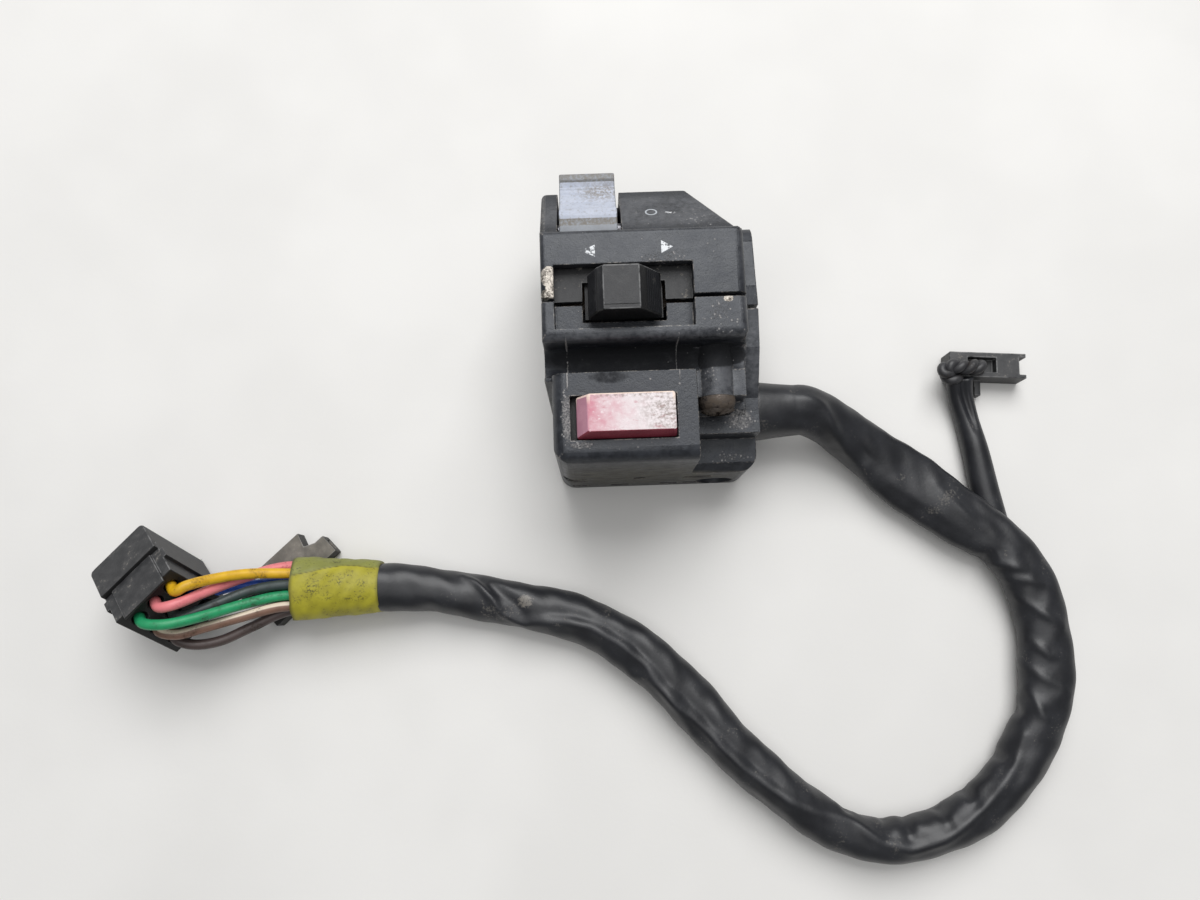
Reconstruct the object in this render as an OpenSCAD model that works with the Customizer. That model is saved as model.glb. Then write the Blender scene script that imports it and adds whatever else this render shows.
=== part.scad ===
// Handlebar switch cluster: two die-cast halves clamped round a handlebar,
// with a slide-and-push indicator switch, a horn button and a rocking dimmer switch.
// Frame: X along the handlebar, Y towards the upper half, Z out of the control face.
// The origin is the middle of the clamp bore. All sizes are in millimetres.

/* [Handlebar clamp] */
// diameter of the handlebar that the bore closes on
bar_d = 22.2; // [21.8:0.1:22.6]
// gap left between the two halves so that they pinch the bar
split_gap = 0.8; // [0.6:0.1:1.2]
// diameter of the clamp screws
screw_d = 5; // [4.5:0.5:5]
// diameter of the pan heads
head_d = 8.5; // [8.2:0.1:9]

/* [Housing] */
// length along the bar
body_w = 51; // [50:0.5:54]
// height of the control panel above the bar's axis
panel_z = 27; // [26.5:0.5:30]
// depth of the flat back below the bar's axis
back_z = 19.5; // [19.5:0.5:22]
// wall thickness
wall = 2.4; // [2:0.1:2.6]
// top of the panel above the split
panel_up = 16.2; // [16:0.2:17]
// height of the upper half above the split
upper_h = 31.5; // [31:0.5:33]
// angle of the dimmer's sloping face
slope_ang = 38.4; // [37:0.2:40]
// depth of the lower half below the split
lower_h = 36; // [35.5:0.5:39]
// drop from the panel to the face of the horn block
horn_drop = 3; // [2:0.5:3.5]

/* [Indicator switch] */
// width of the panel window
window_w = 31; // [30:0.2:31.2]
// depth of the window floor below the panel
window_dep = 3.6; // [3.2:0.1:3.8]
// slide travel each way
turn_travel = 5; // [4:0.25:5]
// push travel that cancels the indicator
push_travel = 2; // [1.5:0.25:2]
// width of the knob at its base
knob_w = 16.2; // [14:0.2:16.6]
// length of the knob along Y
knob_len = 10; // [9:0.2:10.4]
// height of the knob top above the panel
knob_up = 6.5; // [5:0.5:8]

/* [Horn switch] */
// length of the horn button
horn_w = 23; // [20:0.5:23.4]
// breadth of the horn button
horn_b = 9.4; // [8:0.2:9.8]
// height of the horn button above its block
horn_up = 3.5; // [3:0.1:4.5]
// press travel of the horn button
horn_travel = 2.4; // [1.5:0.1:2.5]

/* [Dimmer switch] */
// width of the rocker
rocker_w = 13.3; // [12:0.1:13.6]
// diameter of the pivot pin
pin_d = 3; // [2.4:0.2:3.2]

/* [Loom] */
// outside diameter of the loom sleeve
loom_d = 11; // [10:0.5:11]
// outside diameter of one wire
wire_d = 2.5; // [2:0.1:2.6]
// outside diameter of the branch sleeve
branch_d = 6.5; // [6:0.1:6.5]

/* [Hidden] */
$fn = 64;

// clearances shared by the fitting pieces
play = 0.3;
seat_play = 0.05;
pin_play = 0.04;
over = 1;
far = 200;

// housing values that follow from the sizes above
bar_r = bar_d / 2;
x_l = -body_w / 2;
flange_in = 1.4;
x_r = body_w / 2 - flange_in;
gap = split_gap / 2;
box_inset = 3.9;
x_box = x_r - box_inset;
edge_r = 1.4;
left_r = 1.2;
right_r = 2;
saddle_t = 2.9;
saddle_r = bar_r + saddle_t;
lip_w = 4;
lip_x = x_l + lip_w;
room_len = 34.5;
room_r = x_l + room_len;
collar_r = 22;
collar_z = -4.5;
collar_in = 2;
knee_at = [16.5, 11];
knee_r = 4.5;
collar_x = x_box - collar_in;
flange_z = 17.5;

// sloping face of the upper half
slope_out = 0.2;
slope_dn = 2.4;
slope_y = panel_up + slope_out;
slope_z = panel_z - slope_dn;
slope_t = tan(slope_ang);
ridge_in = 0.7;
ridge_y = upper_h - ridge_in;
ridge_z = slope_z - (ridge_y - slope_y) * slope_t;
corner_run = 11.7;
cut_in = 1.2;
corner_cut_x = x_box - corner_run;
slope_in = wall / cos(slope_ang);
back_turn_y = 15;
back_mid = [24, -15];
back_top_z = -5;
back_in = [0.6, 0.6];
back_mid_in = [-1.4, 1.9];

// clamp screws: one in front of the bar and one behind it
screw_in = [39.1, 41];
screw_z = [15.3, -14.4];
front_screw = [x_l + screw_in[0], screw_z[0]];
rear_screw = [x_l + screw_in[1], screw_z[1]];
seat_y = -21;
screw_len = 33;
screw_r = screw_d / 2;
screw_free = 0.25;
screw_free_r = screw_r + screw_free;
head_r = head_d / 2;
head_h = 3.8;
head_dome = 9;
cross_w = 1;
cross_l = 4.6;
cross_h = 1.8;
front_boss_r = 4.2;
rear_boss_r = 4;
nut_boss_y = 15;
head_free = 0.4;
bore_room_r = head_r + head_free;
tube_wall = 1.5;
tube_r = bore_room_r + tube_wall;

// panel, groove and horn block of the lower half
bezel_dn = 9.3;
bezel_r = 1.9;
groove_r = 3.3;
groove_y = -bezel_dn - groove_r;
groove_z = 20;
block_up_y = groove_y - groove_r;
pad_z = 17.5;
block_in_x = 1.7;
block_x0 = x_l + block_in_x;
block_w = 32.2;
block_x1 = block_x0 + block_w;
block_z = panel_z - horn_drop;
block_r = 3;
plan_r = 4;
step_in = 3.3;
step_x = x_r - step_in;
step_up = 1.2;
flange_drop = 1.3;
floor_z = 10;
step_rise = [2.5, 0.2];
step_run = [5, 1];
step_mid = [seat_y + step_run[0], floor_z + step_rise[0]];
step_low = [seat_y + step_run[1], floor_z + step_rise[1]];
seat_run = [2, 3];
floor_y = -28.2;
low_z = 3;
low_y = -34;
low_flat = 2.2;
low_drop = 0;
corner_r = 4;
vent_z = -6;
vent_h = 3.2;
vent_w = 7;
vent_d = 1;
vent_in = [5, 36];
vent_x = [for (v = vent_in) x_l + v];
vent_rib = 0.8;
vent_n = 3;
drain_r = 1.6;
drain_in = 21.5;
drain_z = -5;
drain_at = [x_l + drain_in, drain_z];
slot_w = 4.5;
slot_h = 1.6;
slot_z = -16.4;
slot_in = [7, 17, 29.5, 35.3];
slot_x = [for (v = slot_in) x_l + v];
exit_y = -20;
exit_z = -6;
exit_r = 6;
end_wall = 1.5;
room3_x = x_r - end_wall;
room3_y = -13.2;

// indicator switch heights, from the panel down
turn_in = 18.5;
turn_x = x_l + turn_in;
window_shift = -0.1;
window_x0 = turn_x - window_w / 2 + window_shift;
window_up = 8;
window_dn = 6.8;
plate_top = panel_z - window_dep;
plate_t = 1.5;
plate_bot = plate_top - plate_t;
ledge_bot = plate_bot;
carr_h = 4.2;
carr_play = 0.4;
carr_top = plate_bot - carr_play;
carr_bot = carr_top - carr_h;
leaf_room = 0.9;
base_top = carr_bot - leaf_room;
base_t = 2.2;
base_bot = base_top - base_t;
stem_half = 4;
slot_play = 0.35;
slot_half = stem_half + turn_travel + slot_play;
slot_top = 4.9;
slot_end = 1.2;
carr_half = 8.8;
carr_y0 = -3.2;
carr_y1 = 8.2;
frame_play = [0.2, 0.5];
frame_x0 = x_l + wall + frame_play[0];
frame_x1 = room_r - frame_play[1];
frame_y0 = 0.8;
frame_y1 = 12.4;
rail_y = 9.05;
rail_end = 0.2;
rail_half = carr_half + rail_end;
ear_y = 10.9;
boss_under = 0.1;
boss_top_z = plate_top - boss_under;
pocket_half = 3;
pocket_y0 = -2.4;
pocket_y1 = 3.6;
pocket_wall = 0.8;
pocket_floor = 0.7;
pocket_z = carr_bot + pocket_floor;
stem_play = 0.3;
knob_y = 0.3;
knob_y0 = knob_y - knob_len / 2;
knob_free = 0.5;
knob_bot = plate_top + push_travel + knob_free;
knob_top = panel_z + knob_up;
knob_lip = 1.4;
knob_top_half = 4;
knob_top_shift = -0.8;
knob_bevel = 1.3;
knob_bevel_h = 1.5;
stem_free = 0.2;
stem_bot = pocket_z + push_travel + stem_free;
stem_bore_r = 1.75;
stem_bore_in = 1.6;
stem_bore_top = knob_bot + stem_bore_in;
cancel_r = 1.25;
cancel_wire = 0.4;
cancel_turns = 4;
ball_r = 1.2;
ball_free = 0.25;
ball_up = 2;
ball_y = rail_y - ball_free - ball_r;
ball_z = carr_bot + ball_up;
ball_bore_r = ball_r + seat_play;
ball_bore_y = 4.9;
notch_r = 1.3;
notch_dep = 0.5;
detent_wire = 0.3;
detent_turns = 2;
small_screw_r = 1.25;
small_head_r = 2.1;
small_head_h = 1.5;
small_len = 4;
turn_screw_in = 2.3;
turn_screw_up = 2.6;
turn_screw_x = [frame_x0 + turn_screw_in, frame_x1 - turn_screw_in];
turn_screw_z = base_top + turn_screw_up;
rivet_r = 1.1;
rivet_up = 0.25;
leaf_t = 0.4;
leaf_w = 2.4;
contact_y = [2.4, 6];
contact_step = 5;

// horn switch
horn_in = 17.4;
horn_x = x_l + horn_in;
horn_shift = 0.25;
horn_y = -(lower_h - block_up_y) / 2 - horn_shift;
horn_play = 0.3;
horn_top = block_z + horn_up;
block_in = block_z - wall;
horn_flange = [1.1, 0.5];
horn_flange_h = 1.6;
horn_flange_z = block_in - play - horn_flange_h;
horn_left = 2.5;
horn_right = 0.3;
horn_front = 0.9;
horn_back = 0.1;
post_gap = 8.5;
post_r = 1.4;
post_h = 4.4;
plate_z = horn_flange_z - post_h;
horn_plate_t = 0.6;
horn_plate_half = 10.6;
horn_plate_b = 7.6;
stud_gap = 5.8;
stud_r = 1.3;
stud_free = 0.2;
stud_top = plate_z - horn_travel - stud_free;
stud_h = 1.2;
horn_base_top = stud_top - stud_h;
horn_base_t = 2.4;
horn_base_bot = horn_base_top - horn_base_t;
horn_base_half = 12.4;
horn_base_in = 1;
horn_base_b = 13;
horn_base_y0 = wall + horn_base_in - lower_h;
horn_base_y1 = horn_base_y0 + horn_base_b;
guide_r = 2;
guide_h = 4.4;
horn_spring_r = 2.9;
horn_wire = 0.6;
horn_turns = 4;
pad_h = 6;
pad_w = 5;
pad_up = 2.6;
horn_screw_dx = 10.6;
pad_out = 0.6;
pad_dx = horn_screw_dx + pad_out;
horn_screw_in = 5;
horn_screw_y = horn_screw_in - lower_h;
horn_head_r = 1.6;
horn_head_h = 1.1;

// dimmer switch, drawn in a frame turned with the sloping face
pivot_up = 5.1;
pivot_dn = 11.6;
rocker_in = 11.05;
pivot_y = slope_y + pivot_up;
pivot_z = slope_z - pivot_dn;
rocker_x = x_l + rocker_in;
slot_side = 0.5;
slot_side_r = 0.9;
rocker_x0 = rocker_x - rocker_w / 2;
slot_x0 = rocker_x0 - slot_side;
slot_x1 = rocker_x0 + rocker_w + slot_side_r;
slot_low_z = 3;
pin_r = pin_d / 2;
hub_r = 3.4;
lug_t = 2.2;
lug_r = 4;
tail_half = 2.6;
tail_w = 7;
tail_end = -7;
dimmer_ball_r = 1.5;
dimmer_ball_b = -7.35;
dimmer_bore_r = dimmer_ball_r + seat_play;
dimmer_bore_top = -2.6;
dimmer_spring_h = dimmer_bore_top - dimmer_ball_b - dimmer_ball_r;
dimmer_base_top = -9;
dimmer_base_t = 1.6;
dimmer_base_a0 = -2.8;
dimmer_rivet_a = [-1.4, 3.4];
dimmer_base_a1 = 9;
ledge_t = 1.6;
ledge_w = 1.6;
dimmer_notch_a = [0, -1.8];
dimmer_notch_r = 1.4;
dimmer_notch_dep = 0.45;
wiper_t = 0.5;
wiper_w = 1.4;
wiper_up = 3.5;
wiper_tip = 1.2;
wiper_dx = tail_w / 2 + wiper_w / 2;
rocker_side = [[-8.3, 2], [-8.3, 3.3], [-9.9, 5.3], [-8.2, 6.6], [-6.8, 8], [11, 9.4], [12, 8.4],
    [12, 5.4], [9, 3.6], [2, 2]];
face_cut_r = 17.9;
face_cut = [2.2, 24.8];

// grommet and loom
boot_free = 0.1;
boot_x0 = x_r + boot_free;
boot_len = 10.9;
boot_r0 = 7.2;
boot_end = 2;
grommet_r = exit_r - seat_play;
grommet_flange_r = 7.4;
grommet_flange_t = 2;
grommet_bore_r = 3.4;
loom_r = loom_d / 2;
table_z = -back_z;
loom_lift = 5.6;
loom_z = table_z + loom_lift;
loom_pts = [[x_r + boot_len + boot_free, exit_y, exit_z], [37.5, exit_y, exit_z], [42, -21.4, -7.6],
    [47.5, -24.4, -10], [54, -29, -12.5],
    [64, -37, loom_z], [75.5, -46, loom_z], [84, -52, loom_z], [90, -58, loom_z], [94, -66, loom_z],
    [95.8, -75, loom_z], [95.8, -84, loom_z], [94, -94, loom_z], [90, -103, loom_z],
    [82.5, -113, loom_z], [73, -120, loom_z], [62, -124.2, loom_z], [52, -125, loom_z],
    [43.5, -123, loom_z], [35.5, -118.5, loom_z], [27, -112, loom_z], [17.5, -103, loom_z],
    [8, -92, loom_z], [-0.5, -83, loom_z], [-9.5, -75.5, loom_z], [-20, -70, loom_z],
    [-32, -66.4, loom_z], [-45, -63.6, loom_z], [-57, -61.4, -12.6], [-68, -60.2, -10.8],
    [-76, -60.1, -9.5]];
tape_rings = [[-68.6, -60.15, -10.7, 6.5, 6.5], [-77.5, -60.1, -9.3, 6.9, 6.2],
    [-89.4, -60.1, -7.8, 7.7, 5.05]];
tape_t = 0.55;

// main connector, leaning on one edge
main_at = [-121.5, -59, -6.1];
main_turn = [0, -34.4, -45.4];
main_l = 19.4;
main_wd = 16.8;
main_h = 18.8;
main_pitch_y = 5;
main_pitch_z = 5.4;
cell_r = 1.9;
cell_dep = 7;
socket_dep = 8;
socket_rim = 1.6;
main_groove_x = [-2.6, -0.6];
main_groove_d = 1;
latch_x = [0.6, 8.4];
latch_half = 6;
latch_h = 1.2;
blade_r = 0.5;
blade_l = 7;
cell_rows = [-1, 0, 1];

// wire routes from the tape to the main connector
yellow_pts = [[-82, -56.8, -5.9], [-92, -56.3, -5.4], [-100, -56.3, -2.4], [-107, -57.6, 2],
    [-111, -59, 5], [-113.4, -60.1, 4.9], [-115.3, -58.1, 3]];
pink_pts = [[-82, -55.2, -8.2], [-92, -54.6, -7.6], [-101, -57, -5], [-108, -60.4, 1],
    [-113.5, -63.2, 5.2], [-117, -63.6, 4.9], [-118.9, -61.65, 3]];
blue_pts = [[-82, -58, -9.6], [-92, -57.3, -8.6], [-100, -59, -7.2], [-106, -60.6, -4.2],
    [-111.3, -62.2, 0.4], [-113.2, -60.3, -1.5]];
black_pts = [[-82, -59.5, -6], [-92, -59.1, -5.5], [-100, -60.4, -4.6], [-107, -63.4, -1.8],
    [-114.8, -65.8, 0.4], [-116.7, -63.8, -1.5]];
green_pts = [[-82, -62.1, -6.2], [-92, -61.7, -5.7], [-101, -63.6, -3.2], [-109, -66.2, 1.8],
    [-115.5, -67.6, 5], [-120.5, -67.1, 4.9], [-122.4, -65.2, 3]];
brown_pts = [[-82, -64.6, -6.8], [-92, -64.3, -5.9], [-101, -66.4, -4.4], [-109, -68.6, -2],
    [-114.5, -70, 0], [-118.4, -69.3, 0.4], [-120.3, -67.3, -1.5]];
dark_pts = [[-82, -64.4, -9.5], [-92, -65.6, -8.4], [-100, -69, -7.6], [-107, -72, -6.2],
    [-112.5, -72.6, -4.8], [-116.3, -71.4, -4.1], [-118.2, -69.5, -5.9]];

// second connector, lying under the tape
second_at = [-92, -57.5, -16.7];
second_turn = [0, 0, 42];
second_h = 5.4;
second_body = [[-10.5, -6], [8.5, -6], [8.5, -2], [12.6, -2], [12.6, 3.2], [10, 3.2], [7.4, 4.4],
    [8.5, 8], [-6, 8], [-6, -1], [-10.5, -1]];
second_socket = 2.6;
second_socket_lo = [-0.8, 1.4];
second_socket_hi = [2, second_h - 1.2];
second_blade = [0.6, 0.1];
second_blade_in = 0.3;
second_pts = [[-98.8, -59.6, -16], [-102.2, -61.8, -15.4], [-103.4, -62.4, -13],
    [-100, -61.6, -10.6], [-92, -61, -9.2], [-86.5, -61.2, -9.8]];
lead_r = 1.1;

// branch lead and its connector
branch_r = branch_d / 2;
branch_lift = 3.3;
branch_z = table_z + branch_lift;
branch_pts = [[88, -52, branch_z], [85.8, -41, branch_z], [84.3, -30, branch_z],
    [82.6, -21.5, branch_z], [81.8, -14.6, branch_z]];
branch_wire_a = [[80.4, -15.6, -15], [79.8, -12, -13], [81, -9, -11.4], [85, -8.2, -12.4]];
branch_wire_b = [[83.2, -15.6, -15], [83.4, -12.6, -12.6], [85.6, -10.2, -11.2], [89.2, -9.2, -12.6]];
branch_wire_r = 1.1;
branch_at = [88.5, -8.2, -16.2];
branch_turn = [0, 0, -4];
branch_l0 = -9.8;
branch_l1 = 5;
branch_l2 = 8.4;
branch_l3 = 10.2;
branch_wd = 6.6;
branch_h = 6.4;
branch_rim = 1;
branch_slot_x = [-5, 2.4];
branch_slot_half = 2;
branch_slot_d = 2.6;
branch_tab = [1.6, 4.2, 3];
branch_tab_x = -2.2;
branch_blade_y = 1.2;

function unit(v) = v / norm(v);
function tangent(p, i) = unit(p[min(i + 1, len(p) - 1)] - p[max(i - 1, 0)]);
function across(t) = unit(cross(t, [0, 0, 1]));
function ring(c, t, rw, rh, n) = [for (k = [0:n - 1])
    c + rw * cos(360 * k / n) * across(t) + rh * sin(360 * k / n) * cross(across(t), t)];
function skin(rows, n) = [for (i = [0:rows - 2]) for (k = [0:n - 1]) each [
    [i * n + k, i * n + (k + 1) % n, (i + 1) * n + (k + 1) % n],
    [i * n + k, (i + 1) * n + (k + 1) % n, (i + 1) * n + k]]];
function helix(r, h, turns, steps) = [for (i = [0:turns * steps])
    [r * cos(360 * i / steps), r * sin(360 * i / steps), h * i / (turns * steps)]];

// one solid tube swept through a list of points
module tube(pts, r, n) {
    rows = len(pts);
    points = [for (i = [0:rows - 1]) each ring(pts[i], tangent(pts, i), r, r, n)];
    caps = [[for (k = [0:n - 1]) n - 1 - k], [for (k = [0:n - 1]) (rows - 1) * n + k]];
    polyhedron(points, concat(caps, skin(rows, n)));
}

// a helical spring standing on z = 0 with its wire inside the height
module coil(r, wire, h, turns) {
    translate([0, 0, wire / 2])
        tube(helix(r, h - wire, turns, 8), wire / 2, 6);
}

// extrudes an outline drawn in Y and Z along X
module along_x(x0, length) {
    translate([x0, 0, 0])
        rotate([90, 0, 90])
            linear_extrude(length)
                children();
}

// extrudes an outline drawn in X and Z along Y
module along_y(y0, length) {
    translate([0, y0 + length, 0])
        rotate([90, 0, 0])
            linear_extrude(length)
                children();
}

// a round bar along X
module rod_x(x0, length, r) {
    translate([x0, 0, 0])
        rotate([0, 90, 0])
            cylinder(h = length, r = r);
}

// a round bar along Y at a given X and Z
module rod_y(at, y0, length, r) {
    translate([at[0], y0, at[1]])
        rotate([-90, 0, 0])
            cylinder(h = length, r = r);
}

// a box from one corner to the other
module box(a, b) {
    translate(a)
        cube(b - a);
}

// outline of the upper half from the side
module upper_side() {
    polygon([[gap, -back_z], [back_turn_y, -back_z], back_mid, [upper_h, back_top_z],
        [upper_h, ridge_z - edge_r], [ridge_y, ridge_z], [slope_y, slope_z], [panel_up, panel_z - edge_r],
        [panel_up - edge_r, panel_z - edge_r], [panel_up - edge_r, panel_z], [gap, panel_z]]);
    translate([panel_up - edge_r, panel_z - edge_r])
        circle(edge_r);
}

// control face from below, with its long edges rounded
module face_side() {
    polygon([[x_l, -back_z], [x_l, panel_z - left_r], [x_l + left_r, panel_z - left_r],
        [x_l + left_r, panel_z], [x_box - right_r, panel_z], [x_box - right_r, panel_z - right_r],
        [x_box, panel_z - right_r], [x_box, -back_z]]);
    translate([x_l + left_r, panel_z - left_r])
        circle(left_r);
    translate([x_box - right_r, panel_z - right_r])
        circle(right_r);
}

// outline of the room inside the upper half
module upper_room() {
    inner_z = slope_z - slope_in;
    polygon([[-over, wall - back_z],
        [back_turn_y - back_in[0], wall - back_z],
        back_mid + back_mid_in,
        [upper_h - wall, back_top_z + back_in[1]],
        [upper_h - wall, inner_z - (upper_h - wall - slope_y) * slope_t],
        [panel_up - wall, inner_z + (slope_y - panel_up + wall) * slope_t],
        [panel_up - wall, panel_z - wall],
        [-over, panel_z - wall]]);
}

// round collar at the outer end of the clamp
module collar_side() {
    intersection() {
        union() {
            translate([0, collar_z])
                circle(collar_r);
            translate(knee_at)
                circle(knee_r);
            polygon([[0, collar_z], [0, collar_z + collar_r], knee_at + [0, knee_r], knee_at + [knee_r, 0],
                [collar_r, collar_z]]);
        }
        translate([gap, -back_z])
            square([far, far]);
    }
}

// frame of the sloping face: X across, Y up the slope, Z out of it
module on_slope() {
    translate([0, pivot_y, pivot_z])
        rotate([-slope_ang, 0, 0])
            children();
}

// lugs and ledges that carry the dimmer switch
module dimmer_seats() {
    right_x = slot_x1 + play;
    on_slope() {
        along_x(right_x, lug_t) {
            circle(lug_r);
            translate([-lug_r, 0])
                square([2 * lug_r, lug_r + 1]);
            translate([dimmer_base_a0, dimmer_base_top - dimmer_base_t - ledge_t])
                square([dimmer_base_a1 - dimmer_base_a0, -dimmer_base_top + dimmer_base_t + ledge_t]);
        }
        along_x(right_x - ledge_w, ledge_w)
            translate([dimmer_base_a0, dimmer_base_top - dimmer_base_t - ledge_t])
                square([dimmer_base_a1 - dimmer_base_a0, ledge_t]);
        along_x(x_l + wall - seat_play, ledge_w + seat_play)
            translate([dimmer_base_a0, dimmer_base_top - dimmer_base_t - ledge_t])
                square([dimmer_base_a1 - dimmer_base_a0, ledge_t]);
    }
}

module upper_shell() {
    color([0.16, 0.17, 0.19])
        difference() {
            union() {
                difference() {
                    union() {
                        intersection() {
                            along_x(x_l, x_box - x_l)
                                upper_side();
                            along_y(0, upper_h)
                                face_side();
                            translate([0, 0, -far / 2])
                                linear_extrude(far)
                                    polygon([[x_l, 0], [x_box, 0], [x_box, panel_up],
                                        [x_box - cut_in, panel_up], [corner_cut_x, upper_h], [x_l, upper_h]]);
                        }
                        along_x(collar_x, x_r - collar_x)
                            collar_side();
                    }
                    difference() {
                        along_x(x_l + wall, room_r - x_l - wall)
                            upper_room();
                        rod_x(x_l, lip_x - x_l, saddle_r);
                    }
                }
                rod_y(rear_screw, gap, nut_boss_y - gap, rear_boss_r);
                dimmer_seats();
                for (x = turn_screw_x)
                    box([x - small_head_r, frame_y1, turn_screw_z - small_head_r],
                        [x + small_head_r, panel_up - wall + over / 2, panel_z - wall + over / 2]);
            }
            rod_x(x_l - over, body_w + 2 * over, bar_r);
            for (at = [front_screw, rear_screw])
                rod_y(at, 0, screw_len + seat_y, screw_r + pin_play);
            box([window_x0, -over, plate_top], [window_x0 + window_w, window_up, panel_z + over]);
            box([slot_x0, panel_up + slot_side, slot_low_z], [slot_x1, far, far]);
            on_slope()
                rod_x(x_l + wall / 2, body_w / 2, pin_r);
            for (x = turn_screw_x)
                rod_y([x, turn_screw_z], frame_y1 - over, small_len, small_screw_r);
        }
}

// outline of the right-hand step of the lower half from the side
module step_side(up) {
    polygon([[-gap, -back_z], [-gap, flange_z + up], [-bezel_dn, flange_z + up - flange_drop],
        step_mid + [0, up], step_low + [0, up], [seat_y - seat_run[0], floor_z + up],
        [seat_y - seat_run[1], floor_z], [floor_y, floor_z], [floor_y, low_z], [low_y, low_flat],
        [-lower_h, low_drop], [-lower_h, -back_z]]);
}

// block that carries the horn button
module horn_block() {
    intersection() {
        translate([0, 0, -back_z])
            linear_extrude(block_z + back_z) {
                polygon([[block_x0, 0], [block_x0, plan_r - lower_h], [block_x0 + plan_r, plan_r - lower_h],
                    [block_x0 + plan_r, -lower_h], [block_x1 + over, -lower_h],
                    [block_x1 + over, block_up_y + over], [block_x1, block_up_y + over], [block_x1, 0]]);
                translate([block_x0 + plan_r, plan_r - lower_h])
                    circle(plan_r);
            }
        along_y(-lower_h, lower_h - gap) {
            polygon([[block_x0, -back_z], [block_x0, block_z - block_r],
                [block_x0 + block_r, block_z - block_r], [block_x0 + block_r, block_z],
                [block_x1, block_z], [block_x1, -back_z]]);
            translate([block_x0 + block_r, block_z - block_r])
                circle(block_r);
        }
        along_x(x_l, body_w) {
            polygon([[block_up_y, -back_z], [block_up_y, block_z], [block_r - lower_h, block_z],
                [block_r - lower_h, block_z - block_r], [-lower_h, block_z - block_r],
                [-lower_h, -back_z]]);
            translate([block_r - lower_h, block_z - block_r])
                circle(block_r);
        }
    }
}

// panel strip and groove of the lower half from the side
module bezel_side(end_y, end_z) {
    difference() {
        union() {
            polygon([[-gap, -back_z], [-gap, panel_z], [bezel_r - bezel_dn, panel_z],
                [bezel_r - bezel_dn, panel_z - bezel_r], [-bezel_dn, panel_z - bezel_r],
                [-bezel_dn, end_z], [end_y, end_z], [end_y, -back_z]]);
            translate([bezel_r - bezel_dn, panel_z - bezel_r])
                circle(bezel_r);
        }
        translate([groove_y, groove_z])
            circle(groove_r);
    }
}

// rooms inside the lower half
module lower_room() {
    groove_in = groove_z - groove_r - wall;
    difference() {
        along_x(x_l + wall, room_r - x_l - wall)
            polygon([[over, wall - back_z], [over, ledge_bot], [wall - bezel_dn, ledge_bot],
                [wall - bezel_dn, groove_in], [groove_y - over, groove_in],
                [groove_y - over, wall - back_z]]);
        rod_x(x_l, lip_x - x_l, saddle_r);
    }
    box([block_x0 + wall, wall - lower_h, wall - back_z], [block_x1 - wall, block_up_y - wall, block_in]);
    box([block_x0 + wall, block_up_y - wall - over, wall - back_z],
        [block_x1 - wall, groove_y, groove_in]);
    difference() {
        union() {
            box([block_x1 - wall - over, floor_y + wall, wall - back_z],
                [room3_x, room3_y, floor_z - wall]);
            box([block_x1 - wall - over, wall - lower_h, wall - back_z],
                [room3_x, floor_y + wall + over, low_drop - wall]);
        }
        rod_y(rear_screw, -lower_h, lower_h, tube_r);
    }
    translate([0, exit_y, exit_z])
        rod_x(room3_x - grommet_flange_t - 2 * play, grommet_flange_t + 2 * play,
            grommet_flange_r + play);
}

// two pads on the walls that the horn base is screwed to
module horn_pads() {
    for (s = [-1, 1])
        translate([horn_x + s * pad_dx, 0, horn_base_bot])
            box([-pad_w / 2, wall - lower_h - seat_play, -pad_h], [pad_w / 2, horn_screw_y + pad_up, 0]);
}

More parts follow.
